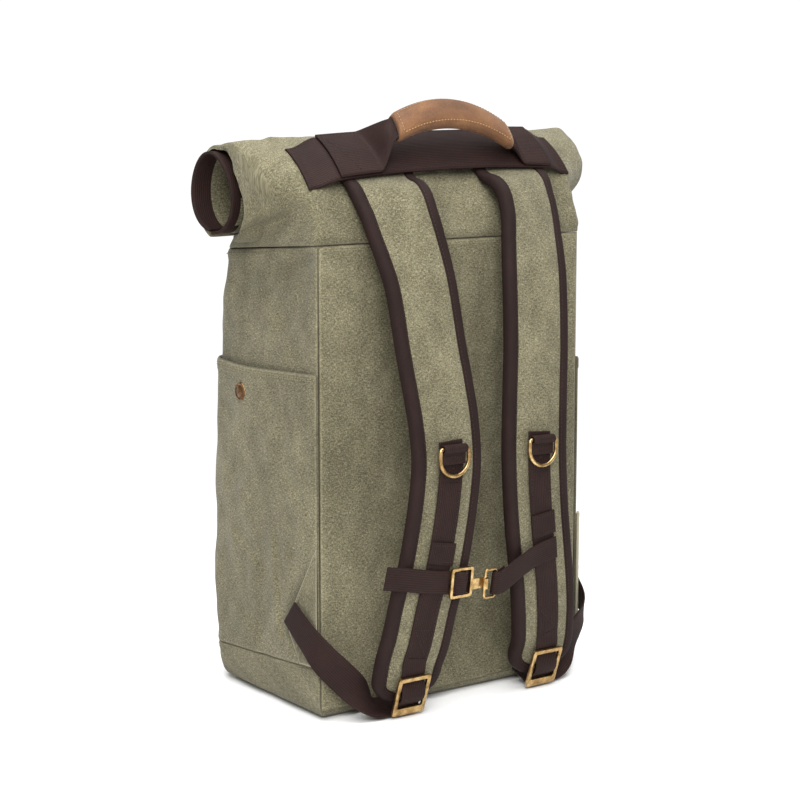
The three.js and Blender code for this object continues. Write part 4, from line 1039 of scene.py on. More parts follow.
def collar_back(x, rise, off):
    """The back of the collar as a surface: so far up it from the seam, and so far off it."""
    x, rise, off = np.broadcast_arrays(*(np.asarray(a, float) for a in (x, rise, off)))
    t = np.interp(rise, LINE_REACH, LINE_T)
    p = spline(COLLAR_LINE, t.ravel()).reshape(t.shape + (3,))
    up = heading(COLLAR_LINE, t.ravel(), 1e-3).reshape(t.shape + (3,))
    z = p[..., 2] + up[..., 1] * off + tilt_at(p[..., 2]) * (x / HALF_WIDTH)
    return np.stack([x, p[..., 1] - up[..., 2] * off, z], axis=-1)


# Pockets, snaps and tabs

def pocket_point(side, share, z, lift):
    """The slack pocket over a side wall, fullest towards its top."""
    height = np.clip((z - TRAY_FRONT) / (POCKET_TOP - TRAY_FRONT), 0, 1)
    across = np.sin(PI * np.minimum(1, share / 0.95)) ** 2
    slack = POCKET_SLACK * across * (0.25 * np.sin(PI * height) + 0.75 * height ** 3)
    share, z, out = np.broadcast_arrays(share, z, LAYER_GAP + slack + lift)
    return side_point(side, share, z, out)


def side_share(y, z):
    """The share along a side wall at a place of its flat part."""
    rear = CORNER_GAP - HALF_DEPTH
    return (y - rear) / (front_reach(z) - FRONT_RADIUS - rear) * ROUND_SHARE


def pocket_relief(y, z):
    """Soft creases of the worn pocket, deepest beside the wing tab, and unevenness over it."""
    return creases(y, z, POCKET_CREASES) + ripple(y, z, 60, 1.1, 31) + ripple(y, z, 24, 0.35, 32)


# The wing tab: its tip's height as a share of its top, how much narrower it is at its foot, how
# far the pocket sinks under it and how far its flap lifts, per side.
TAB_TIP = 0.53
TAB_TAPER = 0.34
TAB_HOLLOW = 0.9
TAB_FLAPS = {-1: 4.0, 1: 0.5}
# How far in mm the painted shadow past the wing tab's free edge fades out.
TAB_SHADOW_FADE = 10.0


def tab_edge(z):
    """How far the wing tab reaches from the rear corner, by height."""
    heights = (TRAY_REAR, TAB_TIP * TAB_TOP, TAB_TOP, 1.15 * TAB_TOP)
    return np.interp(z, heights, ((1 - TAB_TAPER) * TAB_REACH, TAB_REACH, 0, -20))


def side_pocket(name, side):
    """The pocket's wall, with a folded hem along its mouth, two rows of stitches and a painted shadow beside
    the wing tab.
    """
    shares = np.linspace(0.007, 0.985, 100)
    y0 = side_point(side, shares, TRAY_REAR, 0)[:, 1]
    low = tray_top(y0) + SEAM_GAP
    high = POCKET_TOP + 4 * smooth(shares, 0.5, 1)
    z = low + (high - low) * np.linspace(0, 1, 130)[:, None]
    s = np.broadcast_to(shares, z.shape)
    inner, outer = pocket_point(side, s, z, 0.0), pocket_point(side, s, z, POCKET_WALL)
    out = unit(outer - inner)
    u, v = travel(outer, 1), travel(outer, 0)
    edge = np.minimum(np.minimum(u, u[:, -1:] - u), v)
    drop = v[-1:] - v
    hem = 0.6 * (1 - smooth(drop, 9.5, 11)) - 1.0 * np.exp(-(drop / 0.9) ** 2)
    beside_tab = smooth(outer[..., 1] + HALF_DEPTH - tab_edge(z), 1, 16)
    relief = pocket_relief(outer[..., 1], z) * beside_tab - TAB_HOLLOW * (1 - beside_tab)
    push = relief * smooth(edge, 0, 14) * smooth(drop, 2, 20) + hem
    push = push + np.minimum(seam_roll(edge), 0.4) * 0.6
    push = np.maximum(push, -0.9)
    outer = outer + out * push[..., None]
    for row in (3.4, 6.6):
        lift = np.argmin(np.abs(drop[:, 50] - row))
        stitch("canvas", outer[lift, 3:-3], out[lift, 3:-3])
    piece = wall(name + "_cloth", outer, inner, CANVAS_FINISH)
    # Painted shadow: a shade attribute, full under the wing tab and fading out past its free edge between
    # heights of 50 and 140 mm, that darkens the canvas.
    past = outer[..., 1] + HALF_DEPTH - tab_edge(z)
    shadow_past_tab = np.where(past > 0, np.exp(-(past / TAB_SHADOW_FADE) ** 2), 1.0)
    painted_shade = shadow_past_tab * smooth(z, 50, 70) * (1 - smooth(z, 105, 140))
    layer = piece.data.attributes.new("painted_shade", "FLOAT", "POINT")
    layer.data.foreach_set("value", np.concatenate([painted_shade.ravel(), painted_shade.ravel()]).astype(np.float32))
    return dress(piece, "canvas", name)


# A snap's radius and height, from its middle over its cap and rolled rim to its back.
SNAP_PROFILE = np.array([
    [2.4, 2.62], [4.2, 2.3], [5.2, 1.9], [5.7, 1.75], [6.2, 2.05], [6.9, 2.3], [7.5, 1.9], [8.0, 1.1],
    [8.0, 0.2], [7.6, 0.0],
])
SNAP_SIDES = 48


def snap_button(name, side):
    """A turned snap: a domed cap in a rolled rim."""
    turn = np.linspace(0, 2 * PI, SNAP_SIDES, endpoint=False)
    radius, height = SNAP_PROFILE[:, :1], SNAP_PROFILE[:, 1:]
    height = np.broadcast_to(height, (len(SNAP_PROFILE), SNAP_SIDES))
    grid = np.stack([height, radius * np.cos(turn), radius * np.sin(turn)], axis=-1)
    low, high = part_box(name)
    seat = low.x if side > 0 else high.x
    grid = grid * np.array([side, 1, 1]) + np.array([seat / MM, SNAP_Y, SNAP_Z])
    piece = tube(name + "_cap", grid, SNAP_FINISH)
    return dress(piece, "brass", name)


def wing_tab(name, side):
    """A canvas triangle from the side seam over the pocket, turned in and stitched at its edges."""
    down, forward = np.meshgrid(np.linspace(0, 1, 50), np.linspace(0, 1, 34), indexing="ij")
    seam = (3 + 0 * down, TAB_TOP + (TRAY_REAR + 2 - TAB_TOP) * down)
    tip_z = TAB_TOP * TAB_TIP
    tip = (TAB_REACH * (1 - TAB_TAPER * down), tip_z + (TRAY_REAR + 1 - tip_z) * down)
    depth = seam[0] + (tip[0] - seam[0]) * forward
    z = seam[1] + (tip[1] - seam[1]) * forward
    share = side_share(depth - HALF_DEPTH, z)
    base = POCKET_WALL + LAYER_GAP * 1.5
    inner, outer = pocket_point(side, share, z, base), pocket_point(side, share, z, base + TAB_WALL)
    out = unit(outer - inner)
    u, v = travel(outer, 1), travel(outer, 0)
    edge = np.minimum(np.minimum(v, v[-1:] - v), u[:, -1:] - u)
    push = 0.35 * np.exp(-((edge - 3) / 2.2) ** 2) - 0.7 * np.exp(-(edge / 0.8) ** 2)
    flap = TAB_FLAPS[side] * smooth(forward, 0, 1) * (1 - smooth(down, 0.1, 1))
    outer = outer + out * (push + flap)[..., None]
    inner = inner + out * flap[..., None]
    stitch("canvas", outer[3, 2:-2], out[3, 2:-2])
    # The tab's material paints a highlight on the very rim of its edges.
    return dress(wall(name + "_cloth", outer, inner, TAB_FINISH), "canvas", name)


for side_name, side_sign in SIDES:
    side_pocket("side_pocket_" + side_name, side_sign)
    snap_button("snap_" + side_name, side_sign)
    wing_tab("wing_tab_" + side_name, side_sign)


# Shoulder straps

# The middle line of a strap below the band: height, stand-off and spread as shares.
STRAP_ROUTE = np.array([
    [0.94, 0, 0.963], [0.914, 0.2, 0.955], [0.88, 0.345, 0.937], [0.837, 0.48, 0.896],
    [0.777, 0.64, 0.841], [0.655, 0.816, 0.77], [0.59, 0.898, 0.716], [0.526, 0.967, 0.67],
    [0.461, 1, 0.649], [0.397, 0.985, 0.677], [0.333, 0.953, 0.729], [0.268, 0.912, 0.8],
    [0.204, 0.837, 0.888], [0.139, 0.755, 0.957], [0.097, 0.653, 1], [0.054, 0.531, 1],
    [0.026, 0.439, 1],
])
ROOT_SHARE = 0.3
TAPE_SEAT = 0.4
RISE_BELOW = 120
ROOT_OFF = ROOT_SHARE * STRAP_THICKNESS * TAPE_SEAT + TAPE_GAP + BINDING_WALL + 2 * LAYER_GAP


class Strap:
    """A shoulder strap as a surface: at() gives a point so far down it, across it and off it."""

    def __init__(self, side):
        self.side = side
        root = side * STRAP_ROUTE[0, 2] * STRAP_SPREAD
        sewn = [collar_back(0.0, BAND_FOOT + share * BAND_WIDTH, ROOT_OFF) for share in (0.58, 0.28, -0.03)]
        sewn = [np.array([root, p[1], p[2]]) for p in sewn]
        height, stand, spread = STRAP_ROUTE.T
        free = np.stack([side * spread * STRAP_SPREAD, -HALF_DEPTH - stand * STRAP_STAND,
                         height * STRAP_TOP], axis=1)
        self.route = np.concatenate([sewn, free])
        self.t = np.linspace(0, 1, 1201)
        line = spline(self.route, self.t)
        self.reach = travel(line, 0)
        self.length = self.reach[-1]
        steps = np.linspace(0, self.length, 1500)
        middle = self.at(steps, 0, 0)
        self.heights = middle[::-1, 2], steps[::-1]

    def frame(self, along):
        """Middle line, and the directions down, outwards and across."""
        along = np.asarray(along, float)
        kept = np.clip(along, 0, self.length)
        t = np.interp(kept, self.reach, self.t)
        flat = t.ravel()
        middle = spline(self.route, flat)
        down = heading(self.route, flat, 1e-4)
        middle = middle + down * (along - kept).ravel()[:, None]
        out = unit(np.array([0, -1, 0]) + down * down[:, 1:2])
        across = unit(np.cross(down, out))
        across = across * np.sign(across[:, :1] * self.side)
        turn = (STRAP_TWIST * smooth(along, 34, 62) * (1 - smooth(along, 62, 130))).ravel()[:, None]
        shape = along.shape + (3,)
        leaning = out * np.cos(turn) + across * np.sin(turn)
        aside = across * np.cos(turn) - out * np.sin(turn)
        return middle.reshape(shape), down.reshape(shape), leaning.reshape(shape), aside.reshape(shape)

    def at(self, along, across, off):
        """A point: the middle line plus so far across and so far outwards, raised like the bag."""
        along, across, off = np.broadcast_arrays(*(np.asarray(a, float) for a in (along, across, off)))
        middle, _, out, aside = self.frame(along)
        p = middle + aside * across[..., None] + out * off[..., None]
        z = p[..., 2]
        below = (SEAM_RISE / 2) * smooth(z, BODY_HEIGHT - RISE_BELOW, BODY_HEIGHT)
        rise = np.where(z > BODY_HEIGHT, tilt_at(z), below)
        return np.stack([p[..., 0], p[..., 1], z + rise * p[..., 0] / HALF_WIDTH], axis=-1)

    def along_at(self, z):
        """How far down the strap a height is."""
        return float(np.interp(z, *self.heights))

    def half_width(self, along, inset):
        """Half its width, a little wider at the root and rounded like an ellipse at the end."""
        full = (STRAP_WIDTH / 2) * (1.1 - 0.1 * smooth(along, 10, 80)) - inset
        past = np.clip((along - (self.length - STRAP_END)) / (STRAP_END - inset), 0, 1)
        return full * np.sqrt(1 - past ** 2)

    def depth(self, along):
        """Its thickness, flattened at the root that is sewn under the band."""
        return (ROOT_SHARE + (1 - ROOT_SHARE) * smooth(along, 26, 52)) * STRAP_THICKNESS


STRAPS = {"left": Strap(-1), "right": Strap(1)}
FACE_OFF = STRAP_THICKNESS / 2 + LAYER_GAP + 1.1
TAPE_FRONT = FACE_OFF + WEBBING / 2
LOCK_OFF = FACE_OFF + 4

# The ladder lock: its bars' width and half their thickness, the height of the window under the top
# bar, half the middle bar's height and the height of the lip at its foot.
LOCK_BAR = 3.6
LOCK_HALF_BAR = 1.3
LOCK_WINDOW = 12
LOCK_HALF_MIDDLE = 1.5
LOCK_LIP = 6.9

# The strap's rows of stitches: how far they are from the webbing's middle.
TAPE_ROW = 9.4
RING_WIRE = 1.7


def strap_pad(name, strap):
    """Padded canvas: each section is crowned on both faces and thin where the tape grips it."""
    inset = BINDING_WALL + SEAM_GAP
    straight = strap.length - STRAP_END
    bend = straight + (STRAP_END - inset) * np.sin(np.linspace(0, 1, 20)[1:-1] * PI / 2)
    along = np.concatenate([np.linspace(0, straight, 170), bend])
    half = np.maximum(1.5, strap.half_width(along, inset))
    uncovered = along < strap.length - BINDING_WIDTH - 2.5
    raised = np.where(uncovered, strap.half_width(along, BINDING_WIDTH + 0.5), 0.0)
    low = strap.depth(along) * TAPE_SEAT
    high = np.where(raised > 0, strap.depth(along) / 2 + 0.15, low)
    share = np.sin(np.linspace(-1, 1, 33) * PI / 2)
    across = half[:, None] * share[None]
    inside = np.clip(1 - (np.abs(across) / np.maximum(raised, 1)[:, None]) ** 3, 0, 1)
    crown = low[:, None] + (high - low)[:, None] * inside ** 0.5
    crown = np.where(raised[:, None] > 0, crown, low[:, None])
    uneven = ripple(across * 1.2, along[:, None] + 0 * across, 46, 0.18, 41) * inside
    face = strap.at(along[:, None], across, crown + np.minimum(uneven, 0.1))
    back = strap.at(along[:, None], across, -crown - uneven)[:, ::-1]
    piece = tube(name + "_cloth", np.concatenate([face, back], axis=1), CANVAS_FINISH)
    return dress(piece, "canvas", name)


def strap_binding(name, strap):
    """Tape folded over the strap's edge: a rounded channel carried down one side and up the other."""
    straight = strap.length - STRAP_END
    half = STRAP_WIDTH / 2
    steps = np.linspace(0, straight, 150)
    turn = np.linspace(0, 1, 40)[1:-1]
    along = np.concatenate([steps, straight + STRAP_END * np.sin(PI * turn), steps[::-1]])
    across = np.concatenate([-strap.half_width(steps, 0), -half * np.cos(PI * turn),
                             strap.half_width(steps[::-1], 0)])
    run = np.stack([np.gradient(along), np.gradient(across)], axis=1)
    run = run / np.linalg.norm(run, axis=1, keepdims=True)
    inward = np.stack([-run[:, 1], run[:, 0]], axis=1)
    high = strap.depth(along) * TAPE_SEAT + TAPE_GAP + BINDING_WALL
    into = np.array([10.0, 9.4, 5, 2.6, 1.0, 0.1, -0.2])
    lift = np.array([0.72, 1.0, 1.06, 1.0, 0.78, 0.4, 0.0])
    into = np.concatenate([into, into[-2::-1]])
    lift = np.concatenate([lift, -lift[-2::-1]])
    inner_into = np.where(into > 3, into, into + 1.1)
    section_into = np.concatenate([into, inner_into[::-1]])
    outer_off = high[:, None] * lift[None]
    inner_off = np.sign(lift) * np.maximum(high[:, None] * np.abs(lift) - BINDING_WALL, 0)
    off = np.concatenate([outer_off, inner_off[:, ::-1]], axis=1)
    rings = strap.at(along[:, None] + inward[:, :1] * section_into,
                     across[:, None] + inward[:, 1:] * section_into, off)
    piece = tube(name + "_tape", rings, BINDING_FINISH)
    keep = slice(14, -14)
    for face in (1, -1):
        place = (along + inward[:, 0] * 8.2)[keep], (across + inward[:, 1] * 8.2)[keep]
        line = strap.at(*place, face * (high[keep] + 0.05))
        outwards = strap.at(*place, face * (high[keep] + 5)) - line
        stitch("brown", line, outwards, **FINE)
    return dress(piece, "webbing", name)


def ribbon(name, stations, count, node):
    """A flat strap through stations of a point, a width direction, a width and a thickness."""
    at = np.array([s[0] for s in stations], float)
    spread = np.array([s[1] for s in stations], float)
    sizes = np.array([s[2:] for s in stations], float)
    t = np.linspace(0, 1, count)
    centre = spline(at, t)
    along = heading(at, t, 1e-4)
    across = spline(spread, t, tension=0.3)
    across = unit(across - along * np.einsum("ij,ij->i", across, along)[:, None])
    up = np.cross(along, across)
    place = t * (len(stations) - 1)
    width = np.interp(place, np.arange(len(stations)), sizes[:, 0])
    thick = np.interp(place, np.arange(len(stations)), sizes[:, 1])
    base = rounded(float(width[0]), float(thick[0]))
    section = np.stack([base] * count)
    section = section * np.stack([width / width[0], thick / thick[0]], axis=1)[:, None]
    piece = sweep(name, centre, across, up, section, WEBBING_FINISH)
    return dress(piece, "webbing", node)


def strap_webbing(name, strap):
    """The webbing down the strap's face and through the ladder lock."""
    lock = strap.along_at(LOCK_Z)
    weave = LOCK_HALF_BAR + WEBBING / 2 + LAYER_GAP
    top_bar = (LOCK_HEIGHT - LOCK_BAR) / 2
    middle_bar = LOCK_HEIGHT / 2 - LOCK_BAR - LOCK_WINDOW - LOCK_HALF_MIDDLE
    lip_bar = -(LOCK_HEIGHT - LOCK_LIP) / 2
    start = strap.along_at(RING_Z + 6)
    stops = [(a, FACE_OFF) for a in np.linspace(start, lock - top_bar - 12, 15)]
    stops += [(lock - top_bar - 4, LOCK_OFF - weave), (lock - top_bar + 3, LOCK_OFF - weave),
              (lock - middle_bar - 3.5, LOCK_OFF + weave), (lock - middle_bar + 3.5, LOCK_OFF + weave),
              (lock - lip_bar - 4, LOCK_OFF - weave), (lock - lip_bar + 2, LOCK_OFF - weave)]
    stops = np.array(stops)
    path = spline(np.concatenate([stops, np.zeros((len(stops), 1))], axis=1), np.linspace(0, 1, 220))
    along, off = path[:, 0], path[:, 1]
    section = rounded(WEBBING_WIDTH, WEBBING)
    rings = strap.at(along[:, None], section[None, :, 0], off[:, None] + section[None, :, 1])
    piece = tube(name + "_tape", rings, WEBBING_FINISH)
    box_stitches(strap, start + 6, start + 34, TAPE_FRONT)
    box_stitches(strap, lock - top_bar - 40, lock - top_bar - 16, TAPE_FRONT)
    for aside in (-TAPE_ROW, TAPE_ROW):
        run = np.linspace(start + 34, lock - top_bar - 40, 60)
        line = strap.at(run, aside, TAPE_FRONT)
        stitch("brown", line, strap.at(run, aside, FACE_OFF + 9) - line, **FINE)
    return dress(piece, "webbing", name)


def box_stitches(strap, first, last, off):
    """A square of stitches with a cross in it, on a strap's face."""
    half = TAPE_ROW
    corners = [(first, -half), (first, half), (last, half), (last, -half),
               (first, -half), (last, half), (last, -half), (first, half)]
    for (a0, x0), (a1, x1) in zip(corners[:-1], corners[1:]):
        t = np.linspace(0, 1, 12)
        line = strap.at(a0 + (a1 - a0) * t, x0 + (x1 - x0) * t, off)
        outwards = strap.at(a0 + (a1 - a0) * t, x0 + (x1 - x0) * t, off + 5) - line
        stitch("brown", line, outwards, **FINE)


WIRE_SIDES = 16


def wire_path(line, radius, origin, body, name, lean=0.0):
    """A round wire along a closed line in the XZ plane, leaned about X and set at its origin."""
    run = unit(np.roll(line, -1, axis=0) - np.roll(line, 1, axis=0))
    ring = circle(radius, WIRE_SIDES)
    x = line[:, None, 0] - run[:, None, 1] * ring[None, :, 0]
    z = line[:, None, 1] + run[:, None, 0] * ring[None, :, 0]
    y = np.broadcast_to(ring[None, :, 1], x.shape)
    cosine, sine = math.cos(lean), math.sin(lean)
    turned = np.stack([x, y * cosine - z * sine, y * sine + z * cosine], axis=-1)
    return tube(name, turned + np.asarray(origin), BRASS_FINISH, looped=True, body=body)


def d_ring(side_name):
    """A D-ring of brass wire: straight bar, two arms and a half circle, in its own plane."""
    node = "d_ring_" + side_name
    reach_x, corner, arm = 14.7, 2.6, 8.0
    quarter = np.linspace(0, PI / 2, 8)
    half = np.linspace(0, PI, 41)
    bend = np.stack([reach_x - corner + corner * np.sin(quarter), corner * (np.cos(quarter) - 1)], 1)
    line = np.concatenate([
        bend,
        np.stack([reach_x * np.cos(half), -arm - reach_x * np.sin(half)], 1),
        bend[::-1] * (-1, 1),
        np.stack([np.linspace(-9, 9, 7), np.zeros(7)], 1),
    ])
    low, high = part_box(node)
    middle = ((low + high) / 2) / MM
    origin = (middle.x, middle.y, high.z / MM - RING_WIRE * 0.98)
    body = next(b for b, nodes in frame["record"]["behaviour"]["bodies"].items() if node in nodes)
    piece = wire_path(line, RING_WIRE, origin, body, node + "_wire")
    return dress(piece, "brass", node)


def ring_loop(side_name, strap):
    """The webbing loop round a D-ring's bar, flattened below it into a sewn tail."""
    node = "d_ring_loop_" + side_name
    outer = RING_WIRE + LAYER_GAP + WEBBING
    ring_along = strap.along_at(RING_Z)
    seat = strap.at(ring_along, 0, TAPE_FRONT + SEAM_GAP)
    turn = np.linspace(-PI / 2, PI * 1.05, 34)
    mid = outer - WEBBING / 2
    line = np.stack([mid * np.cos(turn), outer + mid * np.sin(turn)], 1)
    tail = np.stack([np.linspace(-3.4, -13, 8), np.full(8, WEBBING * 1.6)], 1)
    under = np.stack([np.linspace(-13, -1, 10), np.full(10, WEBBING / 2)], 1)
    path = np.concatenate([under, line[1:], tail])
    centre = np.stack([np.full(len(path), seat[0]), seat[1] - path[:, 1], seat[2] + path[:, 0]], 1)
    across = np.broadcast_to([1.0, 0, 0], centre.shape)
    up = unit(np.cross(unit(np.gradient(centre, axis=0)), across))
    piece = sweep(node + "_tape", centre, across, up, rounded(WEBBING_WIDTH, WEBBING * 0.96), WEBBING_FINISH)
    for down in (-6.5, -11.0):
        line = np.stack([np.linspace(-9.5, 9.5, 10) + seat[0], np.full(10, seat[1] - WEBBING * 2.15),
                         np.full(10, seat[2] + down)], 1)
        stitch("brown", line, (0, -1, 0), **SHORT)
    return dress(piece, "webbing", node)


for side_name, shoulder_strap in STRAPS.items():
    strap_pad("shoulder_strap_" + side_name, shoulder_strap)
    strap_binding("strap_binding_" + side_name, shoulder_strap)
    strap_webbing("strap_webbing_" + side_name, shoulder_strap)
    ring_loop(side_name, shoulder_strap)
    d_ring(side_name)


CAST_ROUNDING = 0.7


def cast_copy(node):
    """A cast brass fitting: a copy of its node, merged, with its edges rounded."""
    piece = frame["nodes"][node].copy()
    piece.data = frame["nodes"][node].data.copy()
    piece.name = node + "_cast"
    piece.parent = None
    piece.data.materials.clear()
    piece.data.materials.append(BRASS_FINISH)
    bpy.context.collection.objects.link(piece)
    merge = piece.modifiers.new("merge", "WELD")
    merge.merge_threshold = 1e-5
    edges = piece.modifiers.new("edges", "BEVEL")
    edges.width, edges.segments = CAST_ROUNDING * MM, 3
    edges.limit_method, edges.angle_limit = "ANGLE", math.radians(38)
    piece.data.polygons.foreach_set("use_smooth", np.ones(len(piece.data.polygons), dtype=bool))
    bpy.context.view_layer.update()
    evaluated = piece.evaluated_get(bpy.context.evaluated_depsgraph_get())
    mesh = bpy.data.meshes.new_from_object(evaluated)
    piece.modifiers.clear()
    piece.data = mesh
    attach(piece, "bag")
    return dress(piece, "brass", node)


for fitting in ("ladder_lock_left", "ladder_lock_right", "sternum_slide", "sternum_hook"):
    cast_copy(fitting)

# Sternum strap

# Its webbing's width and thickness, its height, the slide's middle, the cast bars' thickness, the
# ring's bar, its opening and how far it hangs below the rest, and what follows from them.
STERNUM_WIDTH = 20.0
STERNUM = 1.5
STERNUM_Z = 113.0
SLIDE_X = -36.0
CAST = 2.6
RING_X = 1.0
RING_OPENING = 9.0
RING_DROP = 5
SLIDE_PITCH = (23 - 3 * CAST) / 2 + CAST
OVER_BAR = CAST / 2 + STERNUM / 2 + LAYER_GAP
STERNUM_OFF = TAPE_FRONT + LAYER_GAP + STERNUM / 2 + 0.6
left_strap, right_strap = STRAPS["left"], STRAPS["right"]
sternum_face = left_strap.at(left_strap.along_at(STERNUM_Z), 0, TAPE_FRONT)
STERNUM_Y = float(sternum_face[1]) - OVER_BAR - STERNUM / 2 - 2 * LAYER_GAP
strap_down = left_strap.frame(left_strap.along_at(STERNUM_Z))[1]
STERNUM_LEAN = math.atan2(strap_down[1], -strap_down[2])
STERNUM_ACROSS = (0.05, -math.sin(STERNUM_LEAN), math.cos(STERNUM_LEAN))


def sternum_point(x, out, up):
    """A place in the leaning plane of the sternum fittings."""
    cosine, sine = math.cos(STERNUM_LEAN), math.sin(STERNUM_LEAN)
    return np.array([x, -out * cosine - up * sine + STERNUM_Y, -out * sine + up * cosine + STERNUM_Z])


def sternum_station(place):
    """A station of the sternum webbing, with its own width direction and section."""
    return (place, STERNUM_ACROSS, STERNUM_WIDTH, STERNUM)


def sternum_left():
    """The left half: over the strap, through the slide's bars."""

    def bars(x, out, up):
        """A station beside the slide's middle."""
        return sternum_station(sternum_point(SLIDE_X + x, out, up))

    def on_strap(x, up, lift):
        """A station on the strap, so far along, above and off its face."""
        face = left_strap.at(left_strap.along_at(STERNUM_Z + up), 0, STERNUM_OFF)
        return sternum_station(np.array([face[0] + x, face[1] - lift, STERNUM_Z + up]))

    beside = CAST / 2 + 0.9
    stations = [
        on_strap(-STRAP_WIDTH / 2 - 17, 12, -4.5),
        on_strap(-STRAP_WIDTH / 2, 9.5, -0.2),
        on_strap(-STRAP_WIDTH / 4, 6, 0),
        bars(-SLIDE_PITCH - 10, -OVER_BAR, 2),
        bars(-SLIDE_PITCH - 2, -OVER_BAR, 1),
        bars(-SLIDE_PITCH + beside, -OVER_BAR, 0.5),
        bars(-beside, OVER_BAR, 0),
        bars(beside, OVER_BAR, 0),
        bars(SLIDE_PITCH - beside, -OVER_BAR, -0.5),
        bars(SLIDE_PITCH + CAST / 2 - 0.4, -OVER_BAR, -0.5),
    ]
    ribbon("sternum_left_tape", stations, 130, "sternum_strap_left")


def sternum_right():
    """The right half: round the ring's bar and over the right strap."""
    wrap = CAST / 2 + 2 * LAYER_GAP + STERNUM / 2
    middle = right_strap.at(right_strap.along_at(STERNUM_Z + 12), 0, STERNUM_OFF)

    def round_bar(x, out, up=0.0):
        """A station beside the ring's bar."""
        return sternum_station(sternum_point(RING_X + x, out, up - RING_DROP))

    stations = [
        round_bar(14, -wrap - 0.4, 2.5),
        round_bar(6, -wrap),
        round_bar(0, -wrap),
        round_bar(-wrap * 0.8, -wrap * 0.6),
        round_bar(-wrap, 0),
        round_bar(-wrap * 0.8, wrap * 0.6),
        round_bar(0, wrap),
        round_bar(6, wrap, 1),
        round_bar(middle[0] - STRAP_WIDTH / 2 - RING_X, wrap * 0.6, 10),
        sternum_station(np.array([middle[0] - 12, middle[1] - 0.4, STERNUM_Z + 12])),
        sternum_station(np.array([middle[0] + 11, middle[1], STERNUM_Z + 17])),
    ]
    ribbon("sternum_right_tape", stations, 150, "sternum_strap_right")


def sternum_ring():
    """The wire ring that the hook holds, a narrow upright loop with rounded ends."""
    near = -CAST - RING_OPENING
    wide, tall, corner = -near / 2, STERNUM_WIDTH / 2 + 2.2, 2.4
    line = []
    for x, z, start in ((1, 1, 0), (-1, 1, 0.5), (-1, -1, 1), (1, -1, 1.5)):
        turn = (start + np.linspace(0, 0.5, 9)) * PI
        line.append(np.stack([x * (wide - corner) + corner * np.cos(turn),
                              z * (tall - corner) + corner * np.sin(turn)], axis=1))
    origin = sternum_point(RING_X + near / 2, 0, -RING_DROP)
    piece = wire_path(np.concatenate(line), CAST / 2, origin, "bag", "sternum_ring_wire", STERNUM_LEAN)
    return dress(piece, "brass", "sternum_ring")


def sternum_anchor(side_name, low, high):
    """A doubled patch of webbing above the sternum strap."""
    strap = STRAPS[side_name]
    first, last = strap.along_at(STERNUM_Z + high), strap.along_at(STERNUM_Z + low)
    along = np.linspace(first, last, 12)
    off = TAPE_FRONT + SEAM_GAP + STERNUM / 2
    section = rounded(WEBBING_WIDTH + 2, STERNUM)
    rings = strap.at(along[:, None], section[None, :, 0], off + section[None, :, 1])
    piece = tube("sternum_anchor_" + side_name + "_tape", rings, WEBBING_FINISH)
    for row in (first + 2.6, last - 2.6):
        place = np.full(12, row), np.linspace(-11, 11, 12)
        line = strap.at(*place, off + STERNUM / 2)
        outwards = strap.at(*place, off + 6) - line
        stitch("brown", line, outwards, **SHORT)
    return dress(piece, "webbing", "sternum_anchor_" + side_name)


sternum_left()
sternum_right()
sternum_ring()
sternum_anchor("left", 18, 36)
sternum_anchor("right", 29, 49)


# The adjuster webbing's middle line: how far inside the tab's face and behind the back, as shares
# of its width, its height as a share of the tab's, and the direction of its width.
ADJUSTER_ROUTE = [
    (0.0, -1.115, 0.61, (0.0, -0.65, 0.76)),
    (0.096, -0.385, 0.5, (-0.1, -0.6, 0.78)),
    (0.28, 0.346, 0.39, (-0.35, -0.45, 0.8)),
    (1.03, 0.558, 0.24, (-0.5, -0.2, 0.75)),
    (1.84, 0.654, 0.095, (-0.25, 0.5, 0.6)),
    (2.34, 0.558, 0.047, (0.0, 0.9, 0.4)),
    (2.8, 0.558, 0.047, (0.0, 0.9, 0.4)),
    (3.34, 0.558, 0.047, (0.0, 0.9, 0.4)),
]
ADJUSTER_WIDTH = 26.0
ADJUSTER_LIFT = 4.4


def adjuster(name, side):
    """The webbing from the wing tab round the corner and down under the strap's end."""
    tab_x = HALF_WIDTH + POCKET_WALL + TAB_WALL + SIDE_BULGE + ADJUSTER_LIFT
    stations = []
    for inside, behind, height, (ax, ay, az) in ADJUSTER_ROUTE:
        place = np.array([side * (tab_x - inside * ADJUSTER_WIDTH), -HALF_DEPTH - behind * ADJUSTER_WIDTH,
                          height * TAB_TOP])
        stations.append((place, (side * ax, ay, az), ADJUSTER_WIDTH, WEBBING))
    ribbon(name + "_tape", stations, 110, name)


adjuster("adjuster_webbing_left", -1)
adjuster("adjuster_webbing_right", 1)

# Band and handle

# Where the band ends, and how far past the middle of a strap it still lies over the strap's root.
BAND_END = HALF_WIDTH - 1
ROOT_COVER = 39
ROOT_END = STRAP_SPREAD + ROOT_COVER


def band_point(x, share, off):
    """The band over the collar: on the canvas at its ends, over the strap roots between them."""
    x = np.asarray(x, float)
    lift = LAYER_GAP + (BAND_LIFT - LAYER_GAP) * (1 - smooth(np.abs(x), ROOT_END, BAND_END - 4))
    sag = BAND_SAG * (x / HALF_WIDTH) ** 2
    return collar_back(x, BAND_FOOT - sag + share * BAND_WIDTH, lift + off)


